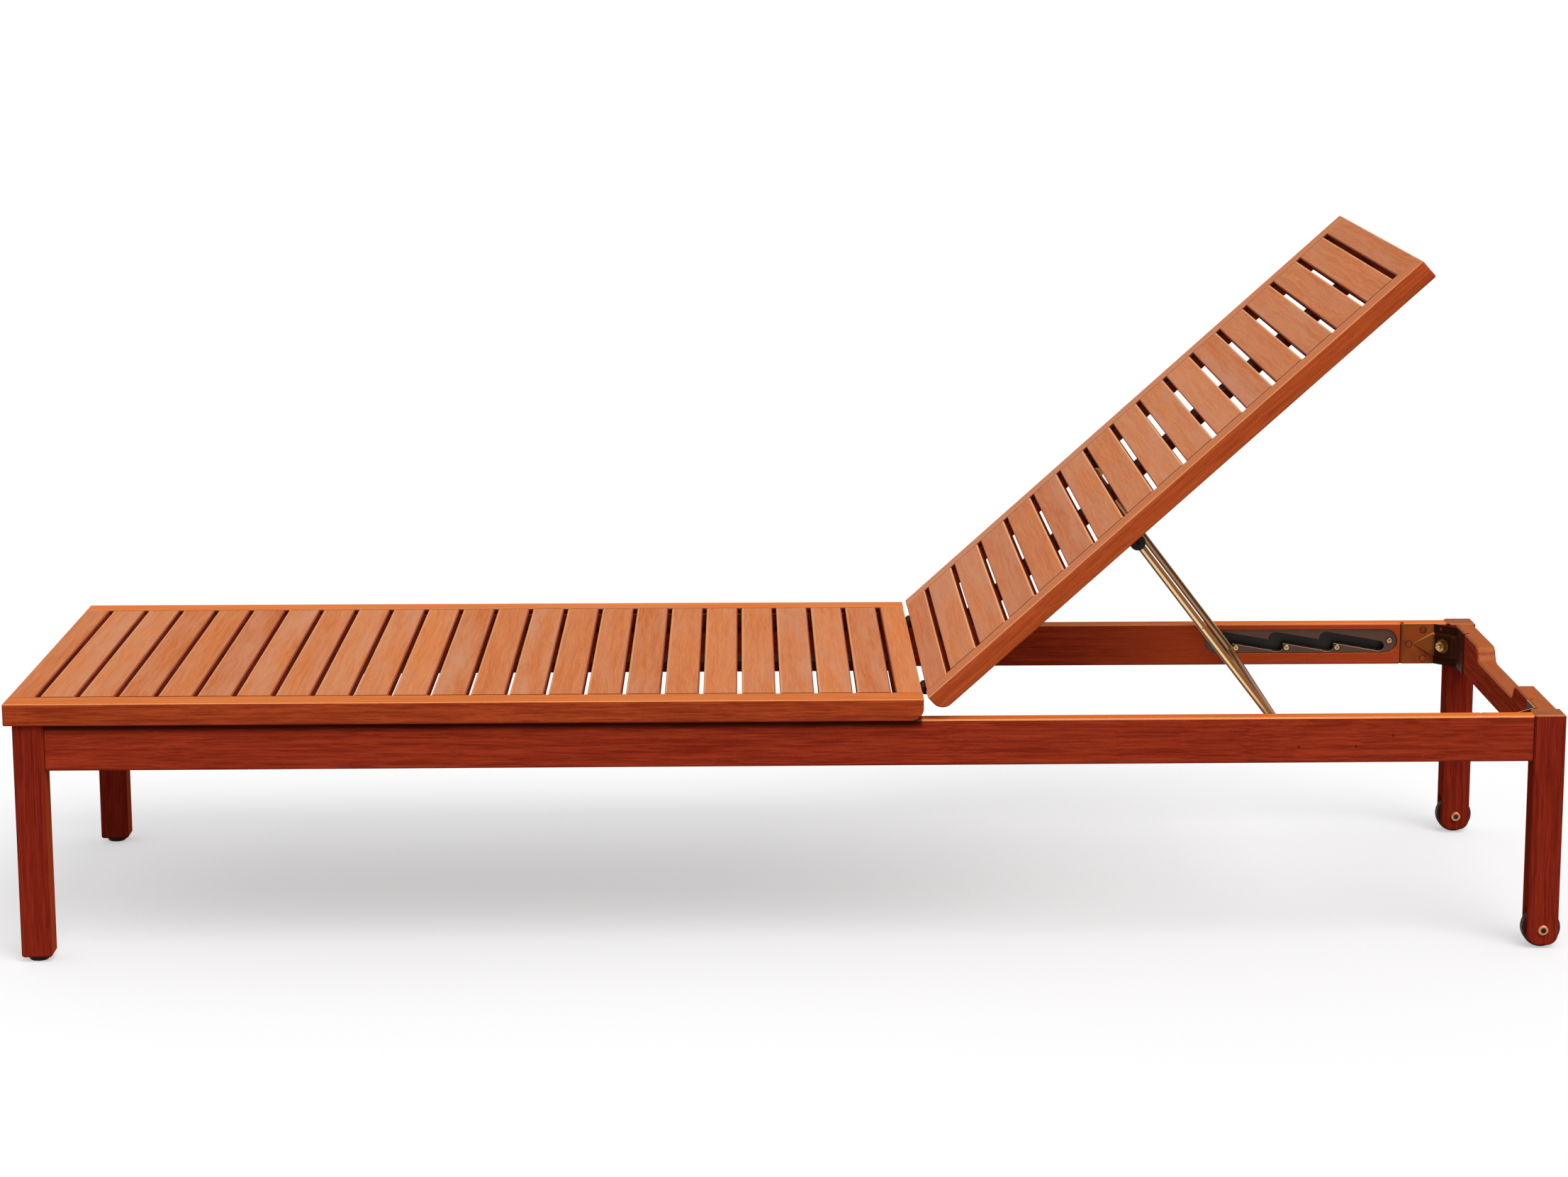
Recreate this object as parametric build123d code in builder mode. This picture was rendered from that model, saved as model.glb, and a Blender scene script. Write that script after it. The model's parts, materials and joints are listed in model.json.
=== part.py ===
"""Wheeled sun lounger: a slatted seat and a reclining slatted back on a four-legged base.

Millimetres. +X runs from the foot end to the head end, +Y to the right-hand side of a
person lying on it, +Z up. The origin is on the floor, below the middle of the lounger.
"""

import os
from math import atan2, cos, degrees, hypot, radians, sin, sqrt

from build123d import *

os.makedirs("parts", exist_ok=True)

# Overall sizes
DECK_WIDTH = 650.0
SEAT_HEIGHT = 336.0
SEAT_LENGTH = 1150.0
BACK_LENGTH = 823.0
BACK_ANGLE = 42.0

# Decks: two side rails, an end bar at each end, slats, and a batten under the slats
SEAT_THICK = 28.5
BACK_THICK = 26.5
DECK_RAIL_WIDTH = 40.0
END_BAR_WIDTH = 33.5
END_BAR_SHALLOWER = 1.0
SEAT_SLATS = 22
BACK_SLATS = 15
SLAT_WIDTH = 43.0
SLAT_THICK = 13.0
SLAT_EASING = 1.5
TONGUE_LENGTH = 7.0
TONGUE_THICK = 6.0
TENON_LENGTH = 14.0
TENON_SHOULDER = 5.0
BATTEN_WIDTH = 52.0
BATTEN_THICK = 14.0
DECK_EASING = 2.5
DECK_CORNER = 2.0
SEAM_EASING = 1.0
HINGE_END_ROUND = 16.0

# Hinges between the decks
HINGE_DEPTH = 8.0
HINGE_HALF_GAP = 5.8
HINGE_SPREAD = 217.0
LEAF_LENGTH = 40.0
LEAF_THICK = 2.0
LEAF_TOP = -6.2
LEAF_BOTTOM = -14.0
KNUCKLE_RADIUS = 5.2
MIDDLE_KNUCKLE = 14.0
KNUCKLE_PLAY = 0.3
HINGE_PIN_RADIUS = 2.0
RUNNING_CLEARANCE = 0.05

# Base frame
LEG_OVERHANG = 10.0
LEG_INSET = 6.5
LEG_DEPTH = 38.0
FOOT_LEG_WIDTH = 38.0
HEAD_LEG_WIDTH = 40.0
HEAD_LEG_FROM_FOOT = 1931.0
HEAD_LEG_ABOVE_RAIL = 1.7
LEG_PROUD = 11.3
LEG_EASING = 2.0
LEG_FLAT = 4.0
RAIL_HEIGHT = 59.5
RAIL_INSET = 2.7
RAIL_EASING = 2.0
DOWEL_RADIUS = 5.0
DOWEL_IN_RAIL = 20.0
DOWEL_IN_DECK = 16.0
DOWELS_FROM_FOOT = (150.0, 575.0, 1000.0)

# Hand grip cut into the head rail
GRIP_TOP_WIDTH = 276.0
GRIP_FLAT_WIDTH = 212.0
GRIP_DEPTH = 20.0

# Corner brackets of pressed sheet, each drawn to its leg by a hanger bolt
SHEET = 1.8
BEND_FROM_CORNER = 29.0
FLANGE_END = 76.0
BEND_RADIUS = 2.5
LIP = 7.0
KERF_PLAY = 0.4
BRACKET_SHORTER = 1.0
PRESSING_DEPTH = 5.0
PRESSING_HALF_HEIGHT = 15.0
PRESSING_SPLAY = 3.0
PRESSING_APEX = 60.0
HOLLOW_APEX = 52.0
HANGER_RADIUS = 4.0
HANGER_PAST_CORNER = 22.0
HANGER_PAST_NUT = 6.0
WASHER_RADIUS = 10.0
WASHER_THICK = 1.6
NUT_ACROSS_FLATS = 13.0
NUT_THICK = 6.5
HOLE_PLAY = 0.3
PLATING_HOLE_RADIUS = 2.2
PLATING_HOLE_ALONG = 8.2
PLATING_HOLE_ABOVE = 22.7

# Glides and wheels
GLIDE_RADIUS = 12.5
GLIDE_HEIGHT = 6.5
GLIDE_EASING = 1.5
SPIGOT_RADIUS = 3.0
SPIGOT_LENGTH = 15.0
HEAD_LEG_GROUND = 4.5
HEAD_LEG_CORNER = 14.0
WHEEL_RADIUS = 25.0
WHEEL_WIDTH = 18.0
WHEEL_EASING = 2.5
FORK_WIDTH = 20.0
FORK_TOP = 52.0
BUSH_RADIUS = 6.0
BUSH_LENGTH = 19.4
AXLE_RADIUS = 4.0
BOLT_HEAD_RADIUS = 6.5
BOLT_HEAD_HEIGHT = 3.0
BOLT_HEAD_EASING = 1.3
CAP_NUT_HEIGHT = 5.0
BOLT_IN_CAP = 3.0
SOCKET_ACROSS_FLATS = 5.0
SOCKET_DEPTH = 2.0

# Rack plates let into the side rails
RACK_FROM_FOOT = 1721.5
RACK_Z = 281.8
RACK_LENGTH = 278.0
RACK_HEIGHT = 35.5
RACK_THICK = 2.7
RACK_SINK = 2.8
RACK_PITCH = 73.0
RACK_CATCHES = 3
FIRST_CATCH = -109.3
CATCH_WIDTH = 20.6
RAMP_WIDTH = 14.4
RAMP_OVERRUN = 3.3
TRACK_FLOOR = -15.0
TRACK_ROOF = 13.0
RACK_EASING = 0.6
TROUGH_WALL = 1.2
TROUGH_DEPTH = 12.0
TRENCH_DEPTH = 13.5
TRENCH_LEDGE = 1.3

# Prop: two arms pivoted under the back, and a bar that rests in the racks
PIVOT_ALONG = 331.4
PIVOT_BELOW = 29.3
BAR_FROM_FOOT = 1618.5
BAR_BELOW_RACK = 10.0
ROD_RADIUS = 5.0
BAR_END_RADIUS = 3.0
BAR_END_GAP = 0.6
BAR_SHOULDER_GAP = 0.5
ARM_FROM_PLATE = 0.5
ARM_START = 6.0
EYE_RADIUS = 9.0
EYE_THICK = 8.0
VENT_RADIUS = 1.3
VENT_DEPTH = 3.0
VENT_FROM_PIVOT = 140.0
PIVOT_PIN_RADIUS = 3.0
PIVOT_HEAD_RADIUS = 5.5
PIVOT_HEAD_THICK = 2.0
PIVOT_HEAD_GAP = 0.3
PROP_PLATE_THICK = 3.0
PROP_PLATE_LENGTH = 46.0
PROP_PLATE_HEIGHT = 12.5
PROP_PLATE_CORNER = 3.0
LOBE_RADIUS = 10.0

# Places worked out from the sizes above
AXLE_FROM_FOOT = HEAD_LEG_FROM_FOOT + HEAD_LEG_WIDTH / 2
FOOT_END = -(AXLE_FROM_FOOT + WHEEL_RADIUS) / 2
HALF_DECK = DECK_WIDTH / 2
DECK_INNER = HALF_DECK - DECK_RAIL_WIDTH
HINGE_X = FOOT_END + SEAT_LENGTH + HINGE_HALF_GAP
HINGE_Z = SEAT_HEIGHT - HINGE_DEPTH
RAIL_TOP = SEAT_HEIGHT - SEAT_THICK
RAIL_BOTTOM = RAIL_TOP - RAIL_HEIGHT
RAIL_MIDDLE = (RAIL_TOP + RAIL_BOTTOM) / 2
LEG_OUTER = HALF_DECK - LEG_INSET
LEG_INNER = LEG_OUTER - LEG_DEPTH
LEG_MIDDLE = (LEG_OUTER + LEG_INNER) / 2
RAIL_INNER = LEG_INNER + LEG_PROUD
RAIL_OUTER = LEG_OUTER - RAIL_INSET
SIDE_RAIL_MIDDLE = (RAIL_INNER + RAIL_OUTER) / 2
FOOT_LEG_START = FOOT_END + LEG_OVERHANG
FOOT_LEG_END = FOOT_LEG_START + FOOT_LEG_WIDTH
FOOT_LEG_MIDDLE = (FOOT_LEG_START + FOOT_LEG_END) / 2
HEAD_LEG_START = FOOT_END + HEAD_LEG_FROM_FOOT
HEAD_LEG_END = HEAD_LEG_START + HEAD_LEG_WIDTH
HEAD_LEG_TOP = RAIL_TOP + HEAD_LEG_ABOVE_RAIL
FOOT_RAIL_INNER = FOOT_LEG_END - LEG_PROUD
HEAD_RAIL_INNER = HEAD_LEG_START + LEG_PROUD
AXLE_X = FOOT_END + AXLE_FROM_FOOT
AXLE_Z = WHEEL_RADIUS
KERF_WIDTH = BEND_RADIUS + SHEET + 2 * KERF_PLAY
KERF_DEPTH = LIP + KERF_PLAY
KERF_FROM_CORNER = FLANGE_END + (SHEET - BEND_RADIUS) / 2
BEND_SETBACK = BEND_FROM_CORNER * sqrt(0.5)
PRESSING_FACE = BEND_SETBACK + SHEET + PRESSING_DEPTH
NUT_FACE = PRESSING_FACE + WASHER_THICK
ARM_Y = DECK_INNER - PROP_PLATE_THICK - ARM_FROM_PLATE - ROD_RADIUS
EYE_Y = DECK_INNER - PROP_PLATE_THICK - ARM_FROM_PLATE - EYE_THICK / 2
PIVOT_HEAD_Y = EYE_Y - EYE_THICK / 2 - PIVOT_HEAD_GAP

# Planes of the two decks: x runs along the deck away from the hinge axis
BACK_COS = cos(radians(BACK_ANGLE))
BACK_SIN = sin(radians(BACK_ANGLE))
SEAT_PLANE = Plane((HINGE_X, 0, HINGE_Z), x_dir=(-1, 0, 0), z_dir=(0, 0, 1))
BACK_PLANE = Plane((HINGE_X, 0, HINGE_Z), x_dir=(BACK_COS, 0, BACK_SIN), z_dir=(-BACK_SIN, 0, BACK_COS))

# Plane of the prop: x runs from its pivot to its bar
PIVOT = BACK_PLANE.from_local_coords(Vector(PIVOT_ALONG, 0, -PIVOT_BELOW))
BAR = Vector(FOOT_END + BAR_FROM_FOOT, 0, RACK_Z - BAR_BELOW_RACK)
PROP_LENGTH = (BAR - PIVOT).length
PROP_PLANE = Plane(PIVOT, x_dir=BAR - PIVOT, z_dir=(BAR - PIVOT).cross(Vector(0, 1, 0)))

# Plane of the left rack: z points into the rail
RACK_PLANE = Plane((FOOT_END + RACK_FROM_FOOT, -RAIL_INNER, RACK_Z), x_dir=(1, 0, 0), z_dir=(0, -1, 0))

# Planes across the left wheel's bolt: z points out of the leg on each side
BOLT_HEAD_PLANE = Plane((AXLE_X, -LEG_OUTER, AXLE_Z), x_dir=(1, 0, 0), z_dir=(0, -1, 0))
BOLT_CAP_PLANE = Plane((AXLE_X, -LEG_INNER, AXLE_Z), x_dir=(1, 0, 0), z_dir=(0, 1, 0))

# Corners where the rails' inner faces meet, and the way each bracket faces
CORNERS = {
    "foot_left": (FOOT_RAIL_INNER, -RAIL_INNER, 45.0),
    "foot_right": (FOOT_RAIL_INNER, RAIL_INNER, -45.0),
    "head_left": (HEAD_RAIL_INNER, -RAIL_INNER, 135.0),
    "head_right": (HEAD_RAIL_INNER, RAIL_INNER, -135.0),
}


def write(part, name):
    """Label a finished piece and write it."""
    part.label = name
    export_step(part, f"parts/{name}.step")


def write_pair(part, name):
    """Write a piece made on the left, and its mirror image on the right."""
    write(part, f"{name}_left")
    write(mirror(part, about=Plane.XZ), f"{name}_right")


def group(parts):
    """Like pieces, kept apart as separate solids."""
    with BuildPart() as together:
        for part in parts:
            add(part)
    return together.part


def in_plane(part, plane):
    """A piece that was made flat, set in a plane."""
    with BuildPart(plane) as copy:
        add(part)
    return copy.part


def facing(corner):
    """The level direction from a corner of the base towards its bracket."""
    turn = radians(CORNERS[corner][2])
    return Vector(cos(turn), sin(turn), 0)


def corner_plane(corner, height):
    """A level plane at a corner of the base, with x the way the bracket faces."""
    x, y, turn = CORNERS[corner]
    return Plane((x, y, height), x_dir=facing(corner), z_dir=(0, 0, 1))


def bolt_plane(corner):
    """An upright plane at a corner of the base, across its hanger bolt."""
    x, y, turn = CORNERS[corner]
    return Plane((x, y, RAIL_MIDDLE), x_dir=(0, 0, 1), z_dir=facing(corner))


# Decks, made flat with the hinge axis on Y


def slat_gap(length, count):
    """The gap that spreads the slats evenly between the end bars."""
    return (length - 2 * END_BAR_WIDTH - count * SLAT_WIDTH) / (count + 1)


def bar_places(length):
    """Where the middles of the end bars are along a deck, the hinge bar first."""
    first = HINGE_HALF_GAP + END_BAR_WIDTH / 2
    return first, first + length - END_BAR_WIDTH


def tenon_size(thick):
    """Width and height of the tenons of an end bar."""
    return END_BAR_WIDTH - 2 * TENON_SHOULDER, thick - END_BAR_SHALLOWER - 2 * TENON_SHOULDER


def deck_rail(length, thick, side, dowels=()):
    """A side rail: rounded below at the hinge, grooved for slats, mortised for end bars."""
    top = HINGE_DEPTH
    bottom = top - thick
    along = HINGE_HALF_GAP + length / 2
    with BuildPart() as rail:
        with BuildSketch(Plane.XZ.offset(-side * (DECK_INNER + HALF_DECK) / 2)) as outline:
            with Locations((along, (top + bottom) / 2)):
                Rectangle(length, thick)
            fillet(outline.vertices().group_by(Axis.X)[-1], DECK_CORNER)
            fillet(outline.vertices().group_by(Axis.X)[0].sort_by(Axis.Y)[0], HINGE_END_ROUND)
        extrude(amount=DECK_RAIL_WIDTH / 2, both=True)
        outer_face = rail.faces().sort_by(Axis((0, 0, 0), (0, side, 0)))[-1]
        fillet(outer_face.edges(), DECK_EASING)
        inner_face = rail.faces().sort_by(Axis((0, 0, 0), (0, side, 0)))[0]
        chamfer(inner_face.edges().filter_by(Axis.X).sort_by(Axis.Z)[-1], SEAM_EASING)
        with Locations((along, side * (DECK_INNER + TONGUE_LENGTH / 2), top - SLAT_THICK / 2)):
            Box(length - 2 * END_BAR_WIDTH, TONGUE_LENGTH, TONGUE_THICK, mode=Mode.SUBTRACT)
        tenon_width, tenon_height = tenon_size(thick)
        tenon_middle = top - (thick - END_BAR_SHALLOWER) / 2
        for bar in bar_places(length):
            with Locations((bar, side * (DECK_INNER + TENON_LENGTH / 2), tenon_middle)):
                Box(tenon_width, TENON_LENGTH, tenon_height, mode=Mode.SUBTRACT)
        for dowel in dowels:
            with Locations((dowel, side * SIDE_RAIL_MIDDLE, bottom + DOWEL_IN_DECK / 2)):
                Cylinder(DOWEL_RADIUS, DOWEL_IN_DECK, mode=Mode.SUBTRACT)
    return rail.part


def deck_bar(along, thick):
    """An end bar between the side rails, with a tenon at each end."""
    height = thick - END_BAR_SHALLOWER
    tenon_width, tenon_height = tenon_size(thick)
    with BuildPart() as bar:
        with Locations((along, 0, HINGE_DEPTH - height / 2)):
            Box(END_BAR_WIDTH, 2 * DECK_INNER, height)
        chamfer(bar.edges().filter_by(Axis.Y).group_by(Axis.Z)[-1], SLAT_EASING)
        with Locations((along, 0, HINGE_DEPTH - height / 2)):
            Box(tenon_width, 2 * (DECK_INNER + TENON_LENGTH), tenon_height)
    return bar.part


def deck_slats(length, count):
    """Slats across the deck, with tongues that sit in the side rails' grooves."""
    pitch = SLAT_WIDTH + slat_gap(length, count)
    with BuildPart() as slats:
        with Locations((HINGE_HALF_GAP + length / 2, 0, HINGE_DEPTH - SLAT_THICK / 2)):
            with GridLocations(pitch, 1, count, 1):
                Box(SLAT_WIDTH, 2 * DECK_INNER, SLAT_THICK)
        chamfer(slats.edges().filter_by(Axis.Y).group_by(Axis.Z)[-1], SLAT_EASING)
        chamfer(slats.edges().filter_by(Axis.X).group_by(Axis.Z)[-1], SEAM_EASING)
        with Locations((HINGE_HALF_GAP + length / 2, 0, HINGE_DEPTH - SLAT_THICK / 2)):
            with GridLocations(pitch, 1, count, 1):
                Box(SLAT_WIDTH, 2 * (DECK_INNER + TONGUE_LENGTH), TONGUE_THICK)
    return slats.part


def deck_batten(length):
    """The batten under the middle of the slats, from end bar to end bar."""
    with BuildPart() as batten:
        with Locations((HINGE_HALF_GAP + length / 2, 0, HINGE_DEPTH - SLAT_THICK - BATTEN_THICK / 2)):
            Box(length - 2 * END_BAR_WIDTH, BATTEN_WIDTH, BATTEN_THICK)
        chamfer(batten.edges().filter_by(Axis.X).group_by(Axis.Z)[0], SLAT_EASING)
    return batten.part


def hinge_leaf(across, knuckles, bore_radius):
    """A hinge leaf on the face of an end bar, with its knuckles round the hinge axis."""
    plate_x = HINGE_HALF_GAP - LEAF_THICK / 2
    with BuildPart() as leaf:
        with Locations((plate_x, across, (LEAF_TOP + LEAF_BOTTOM) / 2)):
            Box(LEAF_THICK, LEAF_LENGTH, LEAF_TOP - LEAF_BOTTOM)
        for start, end in knuckles:
            middle = across + (start + end) / 2
            with Locations((plate_x, middle, LEAF_TOP / 2)):
                Box(LEAF_THICK, end - start, -LEAF_TOP)
            with Locations((0, middle, 0)):
                Cylinder(KNUCKLE_RADIUS, end - start, rotation=(90, 0, 0))
        with Locations((0, across, 0)):
            Cylinder(bore_radius, LEAF_LENGTH, rotation=(90, 0, 0), mode=Mode.SUBTRACT)
    return leaf.part


def hinge_pin(across):
    """The pin through the knuckles of a hinge."""
    with BuildPart() as pin:
        with Locations((HINGE_X, across, HINGE_Z)):
            Cylinder(HINGE_PIN_RADIUS, LEAF_LENGTH, rotation=(90, 0, 0))
    return pin.part


# Base frame, with pieces that come in pairs made on the left


def cut_bolt_seat(corner):
    """Cut the flat and the hole for a hanger bolt into the leg that is being made."""
    flat_face = LEG_PROUD * sqrt(2) - LEG_FLAT * sqrt(0.5)
    with BuildSketch(corner_plane(corner, RAIL_BOTTOM)) as flat:
        with Locations((flat_face + LEG_FLAT, 0)):
            Rectangle(2 * LEG_FLAT, 4 * LEG_FLAT)
    extrude(flat.sketch, amount=2 * RAIL_HEIGHT, mode=Mode.SUBTRACT)
    with BuildSketch(bolt_plane(corner)) as hole:
        Circle(HANGER_RADIUS)
    extrude(hole.sketch, amount=HANGER_PAST_CORNER, both=True, mode=Mode.SUBTRACT)


def foot_leg():
    """A square leg at the foot end, drilled below for its glide."""
    height = RAIL_TOP - GLIDE_HEIGHT
    with BuildPart() as leg:
        with Locations((FOOT_LEG_MIDDLE, -LEG_MIDDLE, GLIDE_HEIGHT + height / 2)):
            Box(FOOT_LEG_WIDTH, LEG_DEPTH, height)
        chamfer(leg.edges().filter_by(Axis.Z), LEG_EASING)
        chamfer(leg.faces().sort_by(Axis.Z)[0].edges(), LEG_EASING)
        cut_bolt_seat("foot_left")
        with Locations((FOOT_LEG_MIDDLE, -LEG_MIDDLE, GLIDE_HEIGHT + SPIGOT_LENGTH / 2)):
            Cylinder(SPIGOT_RADIUS, SPIGOT_LENGTH, mode=Mode.SUBTRACT)
    return leg.part


def head_leg():
    """A leg at the head end: rounded below, and forked for its wheel."""
    with BuildPart() as leg:
        with BuildSketch(Plane.XZ.offset(LEG_MIDDLE)) as outline:
            with Locations((AXLE_X, (HEAD_LEG_GROUND + HEAD_LEG_TOP) / 2)):
                Rectangle(HEAD_LEG_WIDTH, HEAD_LEG_TOP - HEAD_LEG_GROUND)
            fillet(outline.vertices().group_by(Axis.Y)[0], HEAD_LEG_CORNER)
        extrude(amount=LEG_DEPTH / 2, both=True)
        chamfer(leg.edges().filter_by(Axis.Z), LEG_EASING)
        chamfer(leg.faces().sort_by(Axis.Z)[-1].edges(), LEG_EASING)
        cut_bolt_seat("head_left")
        with Locations((AXLE_X, -LEG_MIDDLE, FORK_TOP / 2)):
            Box(HEAD_LEG_WIDTH, FORK_WIDTH, FORK_TOP, mode=Mode.SUBTRACT)
        with Locations((AXLE_X, -LEG_MIDDLE, AXLE_Z)):
            Cylinder(AXLE_RADIUS, LEG_DEPTH, rotation=(90, 0, 0), mode=Mode.SUBTRACT)
    return leg.part


def side_rail():
    """A long rail, kerfed for the brackets' lips and routed out for its rack plate."""
    length = HEAD_LEG_START - FOOT_LEG_END
    with BuildPart() as rail:
        with Locations(((FOOT_LEG_END + HEAD_LEG_START) / 2, -SIDE_RAIL_MIDDLE, RAIL_MIDDLE)):
            Box(length, RAIL_OUTER - RAIL_INNER, RAIL_HEIGHT)
        chamfer(rail.faces().sort_by(Axis.Y)[0].edges(), RAIL_EASING)
        chamfer(rail.faces().sort_by(Axis.Y)[-1].edges().filter_by(Axis.X), RAIL_EASING)
        for kerf in (FOOT_RAIL_INNER + KERF_FROM_CORNER, HEAD_RAIL_INNER - KERF_FROM_CORNER):
            with Locations((kerf, -RAIL_INNER - KERF_DEPTH / 2, RAIL_MIDDLE)):
                Box(KERF_WIDTH, KERF_DEPTH, RAIL_HEIGHT, mode=Mode.SUBTRACT)
        with BuildSketch(RACK_PLANE):
            SlotOverall(RACK_LENGTH, RACK_HEIGHT)
        extrude(amount=RACK_SINK + RACK_THICK, mode=Mode.SUBTRACT)
        with BuildSketch(RACK_PLANE):
            SlotOverall(RACK_LENGTH - 2 * TRENCH_LEDGE, RACK_HEIGHT - 2 * TRENCH_LEDGE)
        extrude(amount=RACK_SINK + RACK_THICK + TRENCH_DEPTH, mode=Mode.SUBTRACT)
        for dowel in DOWELS_FROM_FOOT:
            with Locations((FOOT_END + dowel, -SIDE_RAIL_MIDDLE, RAIL_TOP - DOWEL_IN_RAIL / 2)):
                Cylinder(DOWEL_RADIUS, DOWEL_IN_RAIL, mode=Mode.SUBTRACT)
    return rail.part


def deck_dowel(from_foot, side):
    """A dowel that pins the seat to a side rail."""
    with BuildPart() as dowel:
        with Locations((FOOT_END + from_foot, side * SIDE_RAIL_MIDDLE, RAIL_TOP)):
            with Locations((0, 0, (DOWEL_IN_DECK - DOWEL_IN_RAIL) / 2)):
                Cylinder(DOWEL_RADIUS, DOWEL_IN_DECK + DOWEL_IN_RAIL)
    return dowel.part


def cut_end_rail_kerfs(inner_face, into):
    """Cut the kerfs for the brackets' lips into the end rail that is being made."""
    for kerf in (KERF_FROM_CORNER - RAIL_INNER, RAIL_INNER - KERF_FROM_CORNER):
        with Locations((inner_face + into * KERF_DEPTH / 2, kerf, RAIL_MIDDLE)):
            Box(KERF_DEPTH, KERF_WIDTH, RAIL_HEIGHT, mode=Mode.SUBTRACT)


def foot_rail():
    """The plain rail between the foot legs."""
    thick = FOOT_RAIL_INNER - FOOT_LEG_START - RAIL_INSET
    with BuildPart() as rail:
        with Locations((FOOT_RAIL_INNER - thick / 2, 0, RAIL_MIDDLE)):
            Box(thick, 2 * LEG_INNER, RAIL_HEIGHT)
        chamfer(rail.faces().sort_by(Axis.X)[0].edges(), RAIL_EASING)
        chamfer(rail.faces().sort_by(Axis.X)[-1].edges().filter_by(Axis.Y), RAIL_EASING)
        cut_end_rail_kerfs(FOOT_RAIL_INNER, -1)
    return rail.part


def head_rail():
    """The rail between the head legs, with a hand grip scooped out of its top edge."""
    thick = HEAD_LEG_END - RAIL_INSET - HEAD_RAIL_INNER
    shoulder = (GRIP_TOP_WIDTH / 2, 0)
    floor_end = (GRIP_FLAT_WIDTH / 2, -GRIP_DEPTH)
    sweep_middle = ((GRIP_TOP_WIDTH + GRIP_FLAT_WIDTH) / 4, -GRIP_DEPTH / 2)
    with BuildPart() as rail:
        with BuildSketch(Plane((HEAD_RAIL_INNER, 0, RAIL_TOP), x_dir=(0, 1, 0), z_dir=(1, 0, 0))):
            with BuildLine():
                Line((0, -GRIP_DEPTH), floor_end)
                lower_sweep = TangentArc(floor_end, sweep_middle, tangent=(1, 0))
                TangentArc(sweep_middle, shoulder, tangent=lower_sweep % 1)
                Polyline(shoulder, (LEG_INNER, 0), (LEG_INNER, -RAIL_HEIGHT), (0, -RAIL_HEIGHT))
                mirror(about=Plane.YZ)
            make_face()
        extrude(amount=thick)
        for face in (rail.faces().sort_by(Axis.X)[0], rail.faces().sort_by(Axis.X)[-1]):
            chamfer(face.edges().filter_by(Axis.Z, reverse=True), RAIL_EASING)
        cut_end_rail_kerfs(HEAD_RAIL_INNER, 1)
    return rail.part


def flange_point(side, along, inside=0.0):
    """A point of a bracket's plan: along one flange from the corner, and in from the rail's face."""
    return ((along + inside) * sqrt(0.5), side * (along - inside) * sqrt(0.5))


def pressing_section(level, side, base, face, half_height):
    """A section of a bracket's pressing on one of its bends, standing out along the bend's bisector."""
    bisector = Vector(1 + sqrt(0.5), -side * sqrt(0.5), 0).normalized()
    slant = bisector.X
    bend = Vector(*flange_point(side, BEND_FROM_CORNER))
    upright = Plane(bend, x_dir=bisector, z_dir=bisector.cross(Vector(0, 0, 1)))
    with BuildSketch(level.location * upright.location, mode=Mode.PRIVATE) as section:
        with BuildLine():
            Polyline(
                (base / slant, -half_height - PRESSING_SPLAY),
                (face / slant, -half_height),
                (face / slant, half_height),
                (base / slant, half_height + PRESSING_SPLAY),
                close=True,
            )
        make_face()
    return section.sketch


def corner_bracket(corner):
    """A pressed sheet across a corner: two flanges with lips, and a hollow pressing for the bolt."""
    level = corner_plane(corner, RAIL_MIDDLE)
    height = RAIL_HEIGHT - 2 * BRACKET_SHORTER
    outline = [
        flange_point(1, FLANGE_END, -LIP),
        flange_point(1, FLANGE_END),
        flange_point(1, BEND_FROM_CORNER),
        flange_point(-1, BEND_FROM_CORNER),
        flange_point(-1, FLANGE_END),
        flange_point(-1, FLANGE_END, -LIP),
    ]
    front = (SHEET / 2, SHEET + PRESSING_DEPTH, PRESSING_HALF_HEIGHT)
    back = (-SHEET, PRESSING_DEPTH, PRESSING_HALF_HEIGHT - SHEET / 2)
    with BuildPart() as bracket:
        with BuildSketch(level):
            with BuildLine():
                FilletPolyline(*outline, radius=BEND_RADIUS)
                offset(amount=SHEET, side=Side.LEFT)
            make_face()
        extrude(amount=height / 2, both=True)
        for shape, apex, inside, mode in (
            (front, PRESSING_APEX, SHEET, Mode.ADD),
            (back, HOLLOW_APEX, 0.0, Mode.SUBTRACT),
        ):
            tips = [Vector(*flange_point(side, apex, inside)) for side in (1, -1)]
            first, last = (Vertex(*level.from_local_coords(tip)) for tip in tips)
            bends = [pressing_section(level, side, *shape) for side in (1, -1)]
            loft([first, *bends, last], ruled=True, mode=mode)
        with BuildSketch(bolt_plane(corner)):
            Circle(HANGER_RADIUS + HOLE_PLAY)
            with Locations((PLATING_HOLE_ABOVE, PLATING_HOLE_ALONG)):
                Circle(PLATING_HOLE_RADIUS)
        extrude(amount=2 * PRESSING_FACE, mode=Mode.SUBTRACT)
    return bracket.part


def hanger_bolt(corner):
    """A stud screwed into a leg through its bracket."""
    tip = NUT_FACE + NUT_THICK + HANGER_PAST_NUT
    with BuildPart() as bolt:
        with BuildSketch(bolt_plane(corner).offset(-HANGER_PAST_CORNER)):
            Circle(HANGER_RADIUS)
        extrude(amount=HANGER_PAST_CORNER + tip)
        chamfer(bolt.edges().sort_by(Axis((0, 0, 0), facing(corner)))[-1], HANGER_RADIUS / 4)
    return bolt.part


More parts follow.
